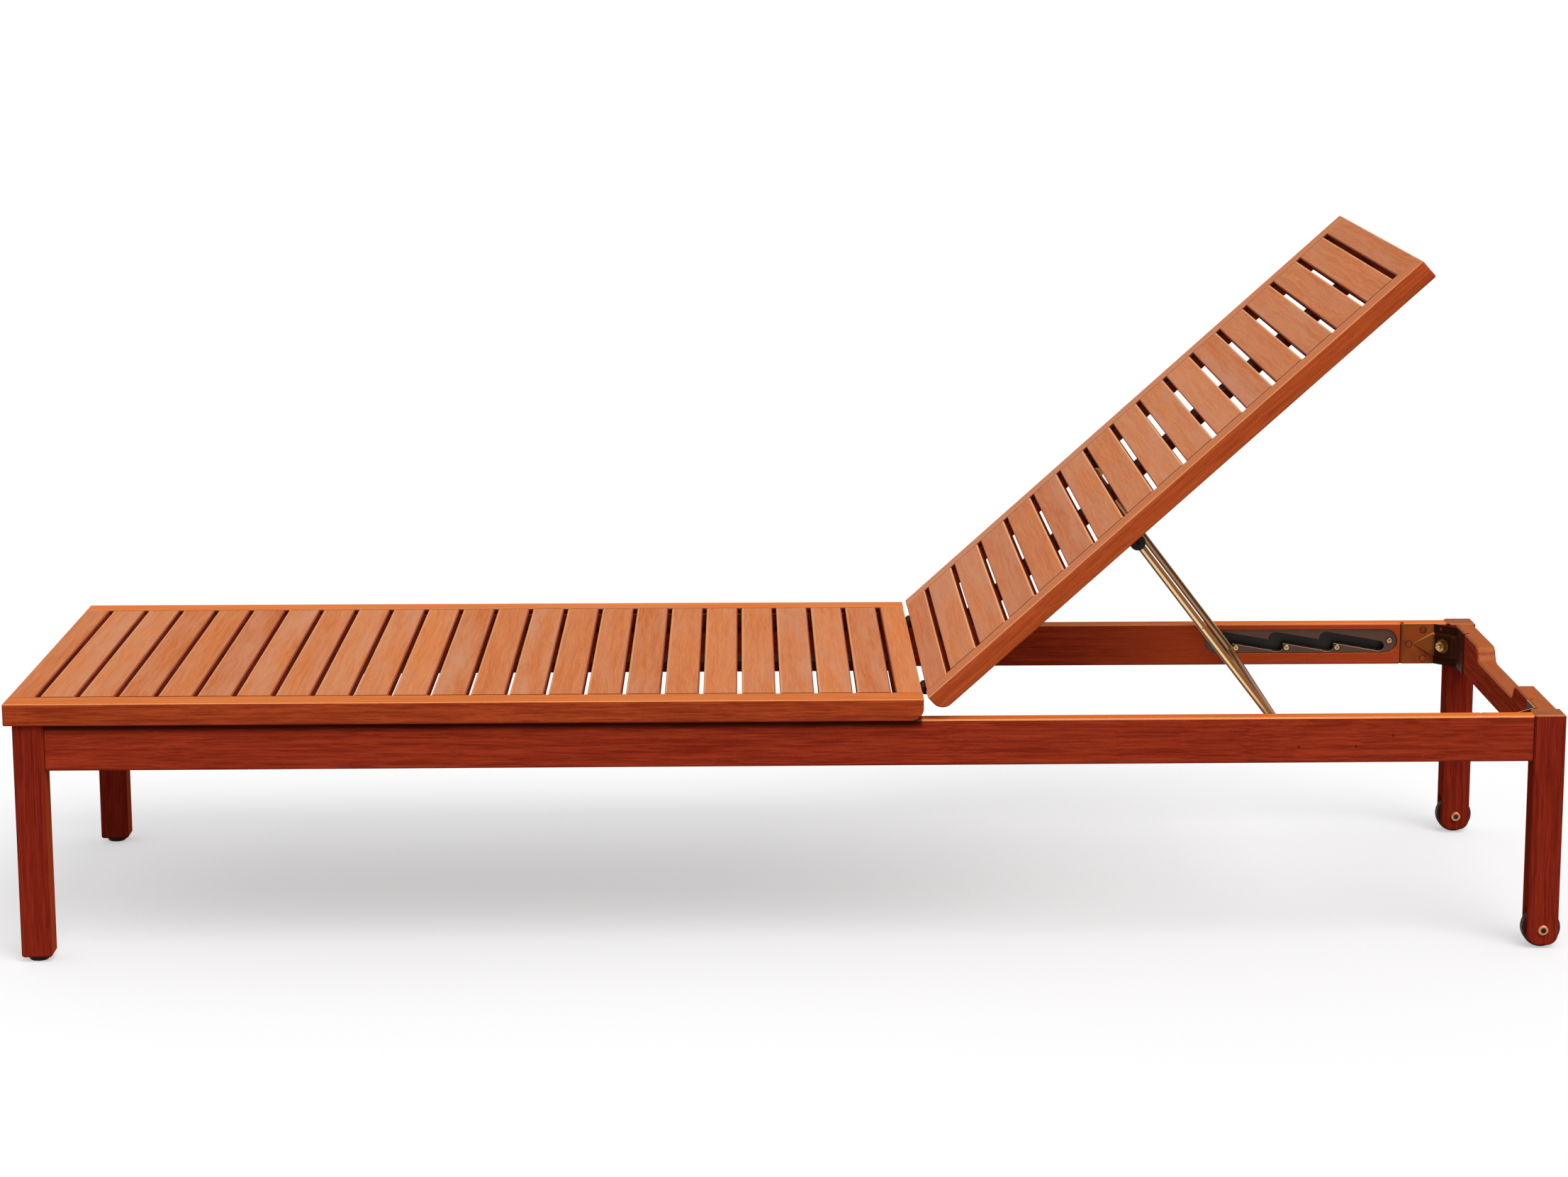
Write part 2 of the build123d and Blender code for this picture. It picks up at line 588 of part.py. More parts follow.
def hanger_washer(corner):
    """The washer on a bracket's pressing."""
    with BuildPart() as washer:
        with BuildSketch(bolt_plane(corner).offset(PRESSING_FACE)):
            Circle(WASHER_RADIUS)
            Circle(HANGER_RADIUS + HOLE_PLAY, mode=Mode.SUBTRACT)
        extrude(amount=WASHER_THICK)
    return washer.part


def hanger_nut(corner):
    """The hexagon nut on a hanger bolt."""
    with BuildPart() as nut:
        with BuildSketch(bolt_plane(corner).offset(NUT_FACE)):
            RegularPolygon(NUT_ACROSS_FLATS / 2, 6, major_radius=False)
            Circle(HANGER_RADIUS, mode=Mode.SUBTRACT)
        extrude(amount=NUT_THICK)
    return nut.part


def foot_glide():
    """A glide under a foot leg, with the spigot that holds it."""
    with BuildPart() as glide:
        with Locations((FOOT_LEG_MIDDLE, -LEG_MIDDLE, GLIDE_HEIGHT / 2)):
            Cylinder(GLIDE_RADIUS, GLIDE_HEIGHT)
        chamfer(glide.edges().group_by(Axis.Z)[0], GLIDE_EASING)
        with Locations((FOOT_LEG_MIDDLE, -LEG_MIDDLE, GLIDE_HEIGHT + SPIGOT_LENGTH / 2)):
            Cylinder(SPIGOT_RADIUS, SPIGOT_LENGTH)
    return glide.part


def rack_track(wider=0.0):
    """The track of a rack: catches joined by ramps, so that the bar drops into each catch in turn."""
    middle = (TRACK_ROOF + TRACK_FLOOR) / 2
    catch_run = TRACK_ROOF - TRACK_FLOOR - CATCH_WIDTH
    ramp_rise = TRACK_ROOF - TRACK_FLOOR - RAMP_WIDTH
    ramp_along = RACK_PITCH + RAMP_OVERRUN
    ramp_run = hypot(ramp_along, ramp_rise)
    ramp_fall = degrees(atan2(ramp_rise, ramp_along))
    with BuildSketch() as track:
        for index in range(RACK_CATCHES):
            catch = FIRST_CATCH + index * RACK_PITCH
            with Locations((catch, middle)):
                SlotCenterToCenter(catch_run, CATCH_WIDTH + 2 * wider, rotation=90)
            with Locations((catch + ramp_along / 2, middle)):
                SlotCenterToCenter(ramp_run, RAMP_WIDTH + 2 * wider, rotation=-ramp_fall)
    return track.sketch


def rack_plate():
    """A rack plate with a sawtooth track, and a closed trough behind the track."""
    with BuildPart() as plate:
        with BuildSketch(RACK_PLANE.offset(RACK_SINK)):
            SlotOverall(RACK_LENGTH, RACK_HEIGHT)
        extrude(amount=RACK_THICK)
        chamfer(plate.faces().sort_by(Axis.Y)[-1].edges(), RACK_EASING)
        with BuildSketch(RACK_PLANE.offset(RACK_SINK + RACK_THICK)):
            add(rack_track(TROUGH_WALL))
        extrude(amount=TROUGH_DEPTH + TROUGH_WALL)
        with BuildSketch(RACK_PLANE.offset(RACK_SINK)):
            add(rack_track())
        extrude(amount=RACK_THICK + TROUGH_DEPTH, mode=Mode.SUBTRACT)
        rim = plate.faces().filter_by(Axis.Y).sort_by(Axis.Y)[-1].inner_wires()[0]
        chamfer(rim.edges(), RACK_EASING)
    return plate.part


def wheel():
    """A small solid wheel."""
    with BuildPart() as disc:
        with Locations((AXLE_X, -LEG_MIDDLE, AXLE_Z)):
            Cylinder(WHEEL_RADIUS, WHEEL_WIDTH, rotation=(90, 0, 0))
        chamfer(disc.edges().filter_by(GeomType.CIRCLE), WHEEL_EASING)
        with Locations((AXLE_X, -LEG_MIDDLE, AXLE_Z)):
            Cylinder(BUSH_RADIUS, WHEEL_WIDTH, rotation=(90, 0, 0), mode=Mode.SUBTRACT)
    return disc.part


def wheel_bush():
    """The sleeve in a wheel that turns on its bolt."""
    with BuildPart() as bush:
        with Locations((AXLE_X, -LEG_MIDDLE, AXLE_Z)):
            Cylinder(BUSH_RADIUS, BUSH_LENGTH, rotation=(90, 0, 0))
            Cylinder(AXLE_RADIUS + RUNNING_CLEARANCE, BUSH_LENGTH, rotation=(90, 0, 0), mode=Mode.SUBTRACT)
    return bush.part


def wheel_bolt():
    """The bolt that a wheel turns on, with a low round head and a hexagon socket."""
    with BuildPart() as bolt:
        with BuildSketch(BOLT_HEAD_PLANE):
            Circle(BOLT_HEAD_RADIUS)
        extrude(amount=BOLT_HEAD_HEIGHT)
        chamfer(bolt.edges().group_by(Axis.Y)[0], BOLT_HEAD_EASING)
        with BuildSketch(BOLT_HEAD_PLANE.offset(BOLT_HEAD_HEIGHT)):
            RegularPolygon(SOCKET_ACROSS_FLATS / 2, 6, major_radius=False)
        extrude(amount=-SOCKET_DEPTH, mode=Mode.SUBTRACT)
        with BuildSketch(BOLT_HEAD_PLANE):
            Circle(AXLE_RADIUS)
        extrude(amount=-(LEG_DEPTH + BOLT_IN_CAP))
    return bolt.part


def wheel_cap_nut():
    """The round cap nut on the inner end of a wheel's bolt."""
    with BuildPart() as nut:
        with BuildSketch(BOLT_CAP_PLANE):
            Circle(BOLT_HEAD_RADIUS)
        extrude(amount=CAP_NUT_HEIGHT)
        chamfer(nut.edges().group_by(Axis.Y)[-1], BOLT_HEAD_EASING)
        with BuildSketch(BOLT_CAP_PLANE):
            Circle(AXLE_RADIUS)
        extrude(amount=BOLT_IN_CAP, mode=Mode.SUBTRACT)
    return nut.part


# Prop


def prop_plate():
    """A plate on the inner face of the back's left rail, with the lobe that carries the pivot."""
    rail_bottom = HINGE_DEPTH - BACK_THICK
    with BuildPart() as plate:
        with BuildSketch(Plane.XZ.offset(DECK_INNER)) as outline:
            with Locations((PIVOT_ALONG, rail_bottom + PROP_PLATE_HEIGHT / 2)):
                RectangleRounded(PROP_PLATE_LENGTH, PROP_PLATE_HEIGHT, PROP_PLATE_CORNER)
            with Locations((PIVOT_ALONG, (rail_bottom + PROP_PLATE_HEIGHT / 2 - PIVOT_BELOW) / 2)):
                Rectangle(2 * LOBE_RADIUS, rail_bottom + PROP_PLATE_HEIGHT / 2 + PIVOT_BELOW)
            with Locations((PIVOT_ALONG, -PIVOT_BELOW)):
                Circle(LOBE_RADIUS)
                Circle(PIVOT_PIN_RADIUS, mode=Mode.SUBTRACT)
        extrude(amount=-PROP_PLATE_THICK)
    return plate.part


def prop_pivot():
    """The headed pin that an arm of the prop turns on."""
    with BuildPart() as pin:
        with Locations((PIVOT_ALONG, -(DECK_INNER + PIVOT_HEAD_Y) / 2, -PIVOT_BELOW)):
            Cylinder(PIVOT_PIN_RADIUS, DECK_INNER - PIVOT_HEAD_Y, rotation=(90, 0, 0))
        with Locations((PIVOT_ALONG, -PIVOT_HEAD_Y + PIVOT_HEAD_THICK / 2, -PIVOT_BELOW)):
            Cylinder(PIVOT_HEAD_RADIUS, PIVOT_HEAD_THICK, rotation=(90, 0, 0))
    return pin.part


def prop_arm():
    """The left arm: a rod with an eye at the pivot, coped round the bar at its foot."""
    with BuildPart() as arm:
        with Locations(((ARM_START + PROP_LENGTH) / 2, -ARM_Y, 0)):
            Cylinder(ROD_RADIUS, PROP_LENGTH - ARM_START, rotation=(0, 90, 0))
        with Locations((0, -EYE_Y, 0)):
            Cylinder(EYE_RADIUS, EYE_THICK, rotation=(90, 0, 0))
            Cylinder(PIVOT_PIN_RADIUS + RUNNING_CLEARANCE, EYE_THICK, rotation=(90, 0, 0), mode=Mode.SUBTRACT)
        with Locations((PROP_LENGTH, -ARM_Y, 0)):
            Cylinder(ROD_RADIUS, 4 * ROD_RADIUS, rotation=(90, 0, 0), mode=Mode.SUBTRACT)
        with Locations((VENT_FROM_PIVOT, -ARM_Y - ROD_RADIUS, 0)):
            Cylinder(VENT_RADIUS, 2 * VENT_DEPTH, rotation=(90, 0, 0), mode=Mode.SUBTRACT)
    return arm.part


def prop_bar():
    """The bar between the arms, turned down at its ends where it enters the racks."""
    with BuildPart() as bar:
        with Locations((PROP_LENGTH, 0, 0)):
            Cylinder(ROD_RADIUS, 2 * (RAIL_INNER - BAR_SHOULDER_GAP), rotation=(90, 0, 0))
            Cylinder(BAR_END_RADIUS, 2 * (RAIL_INNER + RACK_SINK - BAR_END_GAP), rotation=(90, 0, 0))
    return bar.part


# Seat, fixed to the base
seat_dowels = [HINGE_X - FOOT_END - dowel for dowel in DOWELS_FROM_FOOT]
hinge_bar, foot_bar = (deck_bar(along, SEAT_THICK) for along in bar_places(SEAT_LENGTH))
write(in_plane(deck_rail(SEAT_LENGTH, SEAT_THICK, 1, seat_dowels), SEAT_PLANE), "seat_rail_left")
write(in_plane(deck_rail(SEAT_LENGTH, SEAT_THICK, -1, seat_dowels), SEAT_PLANE), "seat_rail_right")
write(in_plane(foot_bar, SEAT_PLANE), "seat_foot_bar")
write(in_plane(hinge_bar, SEAT_PLANE), "seat_hinge_bar")
write(in_plane(deck_slats(SEAT_LENGTH, SEAT_SLATS), SEAT_PLANE), "seat_slats")
write(in_plane(deck_batten(SEAT_LENGTH), SEAT_PLANE), "seat_batten")

# Back, at its steepest setting
lower_bar, head_bar = (deck_bar(along, BACK_THICK) for along in bar_places(BACK_LENGTH))
write(in_plane(deck_rail(BACK_LENGTH, BACK_THICK, -1), BACK_PLANE), "back_rail_left")
write(in_plane(deck_rail(BACK_LENGTH, BACK_THICK, 1), BACK_PLANE), "back_rail_right")
write(in_plane(lower_bar, BACK_PLANE), "back_lower_bar")
write(in_plane(head_bar, BACK_PLANE), "back_head_bar")
write(in_plane(deck_slats(BACK_LENGTH, BACK_SLATS), BACK_PLANE), "back_slats")
write(in_plane(deck_batten(BACK_LENGTH), BACK_PLANE), "back_batten")

# Hinges: the seat's leaf has the two outer knuckles, the back's leaf the middle one
half_leaf = LEAF_LENGTH / 2
half_middle = MIDDLE_KNUCKLE / 2
outer_knuckles = ((-half_leaf, -half_middle - KNUCKLE_PLAY), (half_middle + KNUCKLE_PLAY, half_leaf))
middle_knuckle = ((-half_middle, half_middle),)
seat_leaf = hinge_leaf(HINGE_SPREAD, outer_knuckles, HINGE_PIN_RADIUS)
back_leaf = hinge_leaf(-HINGE_SPREAD, middle_knuckle, HINGE_PIN_RADIUS + RUNNING_CLEARANCE)
write_pair(in_plane(seat_leaf, SEAT_PLANE), "hinge_seat_leaf")
write_pair(in_plane(back_leaf, BACK_PLANE), "hinge_back_leaf")
write(group(hinge_pin(side * HINGE_SPREAD) for side in (-1, 1)), "hinge_pins")

# Base frame
write_pair(foot_leg(), "foot_leg")
write_pair(head_leg(), "head_leg")
write_pair(side_rail(), "side_rail")
write(foot_rail(), "foot_rail")
write(head_rail(), "head_rail")
write(group(deck_dowel(place, side) for place in DOWELS_FROM_FOOT for side in (-1, 1)), "deck_dowels")
for corner in CORNERS:
    write(corner_bracket(corner), f"corner_bracket_{corner}")
write(group(hanger_bolt(corner) for corner in CORNERS), "hanger_bolts")
write(group(hanger_washer(corner) for corner in CORNERS), "hanger_washers")
write(group(hanger_nut(corner) for corner in CORNERS), "hanger_nuts")
write_pair(foot_glide(), "foot_glide")
write_pair(rack_plate(), "rack_plate")

# Wheels
write_pair(wheel(), "wheel")
write_pair(wheel_bush(), "wheel_bush")
write_pair(wheel_bolt(), "wheel_bolt")
write_pair(wheel_cap_nut(), "wheel_cap_nut")

# Prop
write_pair(in_plane(prop_plate(), BACK_PLANE), "prop_plate")
write_pair(in_plane(prop_pivot(), BACK_PLANE), "prop_pivot")
write_pair(in_plane(prop_arm(), PROP_PLANE), "prop_arm")
write(in_plane(prop_bar(), PROP_PLANE), "prop_bar")

# Axes that the moving pieces turn on
print(f"back hinge x {HINGE_X:.3f} z {HINGE_Z:.3f}")
print(f"prop pivot x {PIVOT.X:.3f} z {PIVOT.Z:.3f}, prop length {PROP_LENGTH:.3f}")
print(f"wheel axle x {AXLE_X:.3f} y {LEG_MIDDLE:.3f} z {AXLE_Z:.3f}")
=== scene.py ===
"""Dresses the wheeled sun lounger: grained and oiled wood, plated brass, pressed bronze and black plastic.

Laid out as an add-on: each operator dresses or adds one group of pieces, and main calls them in order.
"""

import json
import math

import bpy
from bpy.props import FloatProperty, FloatVectorProperty, PointerProperty
from mathutils import Matrix, Vector


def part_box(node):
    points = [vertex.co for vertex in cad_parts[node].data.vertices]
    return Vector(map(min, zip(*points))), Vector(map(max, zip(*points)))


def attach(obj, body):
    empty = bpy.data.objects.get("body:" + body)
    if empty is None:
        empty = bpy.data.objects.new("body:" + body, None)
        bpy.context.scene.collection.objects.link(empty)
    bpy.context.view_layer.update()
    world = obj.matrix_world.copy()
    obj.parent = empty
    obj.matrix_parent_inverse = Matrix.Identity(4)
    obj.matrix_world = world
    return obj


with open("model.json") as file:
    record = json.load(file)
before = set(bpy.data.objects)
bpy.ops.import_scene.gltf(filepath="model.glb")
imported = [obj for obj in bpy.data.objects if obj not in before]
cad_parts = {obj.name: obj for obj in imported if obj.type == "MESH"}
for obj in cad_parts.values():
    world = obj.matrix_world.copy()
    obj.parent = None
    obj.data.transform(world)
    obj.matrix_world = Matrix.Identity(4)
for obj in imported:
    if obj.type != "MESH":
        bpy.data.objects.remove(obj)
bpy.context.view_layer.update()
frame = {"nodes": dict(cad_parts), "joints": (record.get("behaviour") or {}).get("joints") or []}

bl_info = {
    "name": "Sun Lounger Finishes",
    "version": (1, 0, 0),
    "blender": (4, 5, 0),
    "location": "View3D > Sidebar > Lounger",
    "description": "Finishes, screws and stage for a wheeled wooden sun lounger",
    "category": "Object",
}

NODES = frame["nodes"]
JOINTS = {joint["name"]: joint for joint in frame["joints"]}
SIDES = ("left", "right")
SIDE_SIGNS = (-1, 1)
UP = Vector((0, 0, 1))
LENGTHWAYS = Vector((1, 0, 0))
CROSSWAYS = Vector((0, 1, 0))

# The back lies flat at the end of its hinge's range, so at rest it leans by the whole range
HINGE = Vector(JOINTS["back_hinge"]["pos_m"])
BACK_TILT = math.radians(JOINTS["back_hinge"]["range_deg"][1])
BACK_ALONG = Vector((math.cos(BACK_TILT), 0, math.sin(BACK_TILT)))
BACK_UP = Vector((-math.sin(BACK_TILT), 0, math.cos(BACK_TILT)))
PIVOT = Vector(JOINTS["prop_hinge"]["pos_m"])
AXLE = Vector(JOINTS["left_wheel_spin"]["pos_m"])

# Decks: widths of the slats and end bars, half the gap at the hinge, how many slats there are, lengths, and
# the width of the painted highlight along a slat's lit edge
SLAT_WIDTH = 0.043
END_BAR_WIDTH = 0.0335
HINGE_HALF_GAP = 0.0058
SEAT_SLATS = 22
BACK_SLATS = 15
SEAT_LENGTH = 1.150
BACK_LENGTH = 0.823
SLAT_HIGHLIGHT_WIDTH = 0.0025

# Pieces that differ in tone: the direction in which they follow each other, their start and their pitch
DECK_PIECES = [(CROSSWAYS, -0.2, 0.4)]
LEFT_AND_RIGHT = [(CROSSWAYS, -1.0, 1.0)]
FOOT_AND_HEAD = [(LENGTHWAYS, -1.0, 1.0)]

# The seam between the slats' ends and the decks' rails: its direction, place and half width
SEAM = (CROSSWAYS, 0.2846, 0.0034)

# Faces where the colour changes, by their distance from the middle of the lounger's width, and how soft such a
# change is, there and between the left and the right half: painted shade starts on the deck rails' inner
# faces, painted light on the side rails' inner faces, and black on the pivots' outer ends
DECK_RAIL_INSIDE = 0.2857
SIDE_RAIL_INSIDE = 0.2930
PIVOT_END = 0.2817
FACE_SOFTNESS = 0.0005
HALF_SOFTNESS = 0.01

# Textures: how far a draw moves a board's grain, the noises' scales per metre, and the depths of the reliefs
BOARD_SHIFT = (9.7, 5.3, 3.1)
METAL_LINES = 900.0
PLASTIC_GRIT = 1500.0
PLASTIC_CLOUDS = 60.0
WOOD_RELIEF = 0.0002
METAL_RELIEF = 0.00004
PLASTIC_RELIEF = 0.00012

# Side rails: top, the seat's end above them, the depths of the painted shadow below the seat, the stretch
# along which painted light turns the inside paler, and the filled nail holes in the outer faces with their
# soft edge
RAIL_TOP = 0.3075
SEAT_END = 0.162
SEAT_END_SOFTNESS = 0.004
SEAT_SHADOW_DEPTHS = (0.013, 0.004)
PALE_INSIDE = (0.30, 0.62)
NAIL_HOLES = ((0.6403, 0.2691), (0.7140, 0.2691), (0.7608, 0.2831))
NAIL_HOLE_EDGE = (0.0010, 0.0024)

# Corner brackets: height of the middle, inner face of the side rails, lip in the rail's kerf, sheet, how far
# the formed middle and the end rail's flange, both painted in shade, reach from the corner, and the rings of
# painted shade round the screws
BRACKET_MIDDLE = 0.27775
BRACKET_SIDE = 0.2918
BRACKET_LIP = 0.007
BRACKET_SHEET = 0.0018
FORMED_REACH = 0.02975
FORMED_SOFTNESS = 0.00075
END_FLANGE = (0.010, 0.014)
FLANGE_RING = (0.0046, 0.0058)

# Rack plates: face, middle, the depths between which the trough turns black with painted shade, the rings of
# painted shade round the screws, and the depths between which a screw's recess turns black with painted shade
RACK_FACE = 0.2946
RACK_MIDDLE = (0.7335, 0.2818)
TROUGH = (0.2954, 0.2975)
RACK_RING = (0.0050, 0.0062)
RACK_RECESS = (RACK_FACE - 0.0008, RACK_FACE - 0.0005)

# The edges of the painted shade in the socket of a wheel's bolt and of the brown ring round it
SOCKET_EDGE = (0.0020, 0.0030)
SOCKET_RING = (0.0036, 0.0044)

# Screws, from the middle of a rack plate, a bracket's corner, the middle of a hinge, or a prop's pivot
RACK_SCREWS = ((-0.128, 0.0), (-0.0935, -0.0095), (-0.0205, -0.0095), (0.0525, -0.0095), (0.128, 0.0))
FLANGE_SCREWS = ((0.045, 0.0203), (0.065, 0.0), (0.045, -0.021))
LEAF_SCREWS = (-0.013, 0.013)
PROP_PLATE_SCREWS = (-0.017, 0.017)

# The hinges' distance from the lounger's middle, and their leaves' faces and screws from the hinge's axis
HINGE_SPREAD = 0.217
LEAF_FACE = 0.0038
LEAF_MIDDLE = -0.0101

# The prop plates' faces from the lounger's middle, their screws above the pivot, and the battens' faces
# below the hinge
PROP_PLATE_FACE = 0.282
PROP_PLATE_MIDDLE = 0.0172
BATTEN_FACE = 0.019

# Screw heads: heights of the lower ones as shares of a rack screw's, sides, rounding as a share of the height,
# length and width of the recess as shares of the radius, the turn from one screw to the next, and the angle
# below which faces are smooth
FLANGE_HEAD = 0.6
SMALL_HEAD = 0.7
HEAD_SIDES = 20
HEAD_ROUNDING = 0.8
RECESS_LENGTH = 1.15
RECESS_WIDTH = 0.26
SCREW_TURN = 0.7
SMOOTH_ANGLE = math.radians(35)

# Stage
FLOOR_SIZE = 200
LAMP_PLACE = Vector((1.9, -3.3, 4.6))
LAMP_AIM = Vector((0.1, 0, 0))
LAMP_ANGLE = math.radians(40)
SKY_SLOPE = (0.05, 0.85)
CAMERA_REACH = 100

# The photograph's camera, in the frame of the lounger
PHOTO_WIDTH = 2212
PHOTO_HEIGHT = 1660
FOCAL_PIXELS = 5231.3
OPTICAL_CENTRE = (1313.25, 894.13)
CAMERA_PLACE = Vector((-0.06555, -4.8843, 1.3403))
CAMERA_YAW = math.radians(2.96)
CAMERA_PITCH = math.radians(11.4)
CAMERA_ROLL = math.radians(0.31)


def linear(red, green, blue):
    """A colour given as 8-bit display values, as the linear values that shaders take."""
    scaled = [channel / 255 for channel in (red, green, blue)]
    return tuple(c / 12.92 if c <= 0.04045 else ((c + 0.055) / 1.055) ** 2.4 for c in scaled)


def toned(tint, share):
    """A colour made darker or brighter."""
    return [min(1, share * channel) for channel in tint]


def colour(name, description, *display):
    """A colour setting whose default is given as 8-bit display values."""
    return FloatVectorProperty(
        name=name, description=description, subtype="COLOR", size=3, min=0, max=1, default=linear(*display)
    )


def length(name, description, default):
    """A length setting in metres."""
    return FloatProperty(
        name=name, description=description, default=default, min=0, precision=4, unit="LENGTH"
    )


def amount(name, description, default, most=1.0):
    """A plain number setting."""
    return FloatProperty(name=name, description=description, default=default, min=0, max=most)


class LoungerWood(bpy.types.PropertyGroup):
    """Colours and grain of the oiled wood. The tops' colours are the wood painted as lit from above, and the
    sides' colours the same wood painted in shade, darker and redder.
    """

    # Tops: the wood painted as lit from above
    top_light: colour("Top light", "Pale grain of faces that look up", 222, 136, 78)
    top_dark: colour("Top dark", "Dark grain of faces that look up", 180, 92, 44)
    # Patches that are partly dry wear and partly painted sheen
    top_wear_and_sheen: colour("Top worn", "Dry patches of faces that look up", 202, 144, 110)
    # The edge colour is a painted highlight on the eased edges
    edge: colour("Edges", "Rubbed edges of the slats and rails", 246, 172, 118)
    # Sides: the same wood painted in shade, darker and redder
    deck_light: colour("Seat side light", "Pale grain of the seat's sides", 184, 76, 38)
    deck_dark: colour("Seat side dark", "Dark grain of the seat's sides", 138, 48, 23)
    back_light: colour("Back side light", "Pale grain of the back's sides", 194, 88, 44)
    back_dark: colour("Back side dark", "Dark grain of the back's sides", 162, 67, 31)
    # Slat sides are painted darker, as shade in the gaps between the slats
    slat_light: colour("Slat side light", "Pale grain of the slats' sides", 158, 66, 44)
    slat_dark: colour("Slat side dark", "Dark grain of the slats' sides", 114, 42, 28)
    base_light: colour("Base side light", "Pale grain of the base's rails", 172, 61, 35)
    base_dark: colour("Base side dark", "Dark grain of the base's rails", 128, 37, 20)
    # Battens are painted darker still, as shade under the slats
    batten_light: colour("Batten light", "Pale grain of the battens below the slats", 92, 34, 20)
    batten_dark: colour("Batten dark", "Dark grain of the battens below the slats", 62, 21, 12)
    cross_light: colour("End rail light", "Pale grain of the end rails' sides", 198, 76, 46)
    cross_dark: colour("End rail dark", "Dark grain of the end rails' sides", 150, 48, 28)
    leg_light: colour("Leg light", "Pale grain of the legs", 152, 47, 29)
    leg_dark: colour("Leg dark", "Dark grain of the legs", 112, 29, 17)
    # The back's tops are painted lighter still, as more brightly lit than the seat
    lit_light: colour("Back top light", "Pale grain of the back's top", 238, 152, 98)
    lit_dark: colour("Back top dark", "Dark grain of the back's top", 198, 106, 58)
    # Patches on the back's tops: partly dry wear, partly painted sheen
    lit_wear_and_sheen: colour("Back top worn", "Dry patches of the back's top", 216, 154, 120)
    # The tops of the legs, side rails and end rails are painted as lit too
    cap_light: colour("Leg top light", "Pale grain of the legs' tops", 204, 118, 70)
    cap_dark: colour("Leg top dark", "Dark grain of the legs' tops", 154, 84, 48)
    rail_light: colour("Rail top light", "Pale grain of the side rails' tops", 242, 128, 44)
    rail_dark: colour("Rail top dark", "Dark grain of the side rails' tops", 206, 94, 32)
    end_light: colour("End rail top light", "Pale grain of the end rails' tops", 186, 98, 49)
    end_dark: colour("End rail top dark", "Dark grain of the end rails' tops", 152, 74, 36)
    pore: colour("Pores", "Open pores, seams and end grain", 66, 22, 10)
    # Painted light on the side rails' inner faces towards the head and on the legs' sides that look to the
    # head
    inner: colour("Rail inside", "Paler inner faces of the side rails", 208, 86, 42)
    # Painted shadow close below the seat's edge
    seat_shadow: colour("Crevice", "Dirt under the edge of the seat", 30, 8, 5)
    streak_length: length("Streak length", "Length of the broad streaks of the grain", 0.26)
    streak_width: length("Streak width", "Width of the broad streaks of the grain", 0.006)
    fibre_length: length("Fibre length", "Length of the fine fibres", 0.060)
    fibre_width: length("Fibre width", "Width of the fine fibres", 0.0018)
    pore_length: length("Pore length", "Length of an open pore", 0.006)
    pore_width: length("Pore width", "Width of an open pore", 0.0006)
    wave_length: length("Wave length", "Length of a wave in the grain", 0.16)
    wave_height: length("Wave height", "How far a wave in the grain swings", 0.016)
    patch_size: length("Patch size", "Size of the dry patches", 0.12)
    board_change: amount("Board change", "How far one board's tone differs from the next", 0.5)


class LoungerMetal(bpy.types.PropertyGroup):
    """Colours of the metal and plastic pieces."""

    brass: colour("Brass", "Plated brass of rods, bolts and nuts", 226, 186, 124)
    # Painted reflection on the prop's rods: a pale highlight, darker reflected streaks and warm flanks
    brass_highlight: colour("Brass pale", "Pale streak along the prop's rods", 255, 236, 172)
    brass_dark: colour("Brass dark", "Brown streaks along the prop's rods", 96, 52, 18)
    copper: colour("Copper", "Warm flanks of the prop's rods", 206, 128, 58)
    bolt: colour("Bolt", "Coppery heads of the wheels' bolts", 226, 158, 112)
    brass_stain: colour("Brass stain", "Darker bloom on the plated brass", 128, 80, 38)
    bronze: colour("Bronze", "Sheet of the corner brackets", 156, 73, 31)
    bronze_olive: colour("Bronze olive", "Pressed noses of the corner brackets", 116, 78, 34)
    # Painted shade on the brackets and their screws, and the darker stain of the bronze and the washers
    bronze_dark: colour("Bronze dark", "Formed middle of the corner brackets", 50, 19, 11)
    # Painted highlight on the brackets' ridges
    bronze_highlight: colour("Bronze rubbed", "Rubbed ridges of the corner brackets", 206, 164, 84)
    rack: colour("Rack", "Satin coat of the rack plates", 92, 60, 43)
    # Painted highlight on the rack plates' upper edges
    rack_highlight: colour("Rack edge", "Rubbed edges of the rack plates", 160, 138, 120)
    # Black: the real coat of the prop plates, and painted shade in the racks' troughs, the rack screws'
    # recesses and the wheel bolts' sockets
    black: colour("Black", "Coat of the prop plates and the racks' troughs", 30, 21, 16)
    # The hinges' dark brown is painted shade, so that they read as the shadowed gap at the hinge
    hinge: colour("Hinge", "Brown coat of the hinges", 74, 30, 17)
    plastic: colour("Plastic", "Moulded wheels and glides", 58, 34, 24)
    bush: colour("Bush", "Sleeves in the wheels", 200, 196, 186)


class LoungerScrews(bpy.types.PropertyGroup):
    """Sizes of the screw heads."""

    rack_radius: length("Rack screw", "Radius of the heads in the rack plates", 0.0040)
    flange_radius: length("Bracket screw", "Radius of the heads in the corner brackets", 0.0042)
    small_radius: length("Small screw", "Radius of the other heads", 0.0032)
    head_height: length("Head height", "How far a head stands proud", 0.0011)


class LoungerStage(bpy.types.PropertyGroup):
    """Floor and light."""

    floor: colour("Floor", "Plain floor", 252, 252, 252)
    floor_bounce: amount("Floor bounce", "Share of its light that the floor throws back", 0.42)
    sky: amount("Sky", "Soft light from overhead", 0.75, 10)
    horizon: amount("Horizon", "Soft light from the sides", 0.40, 10)
    key_power: amount("Key", "Strength of the broad lamp above the camera", 1.75, 20)


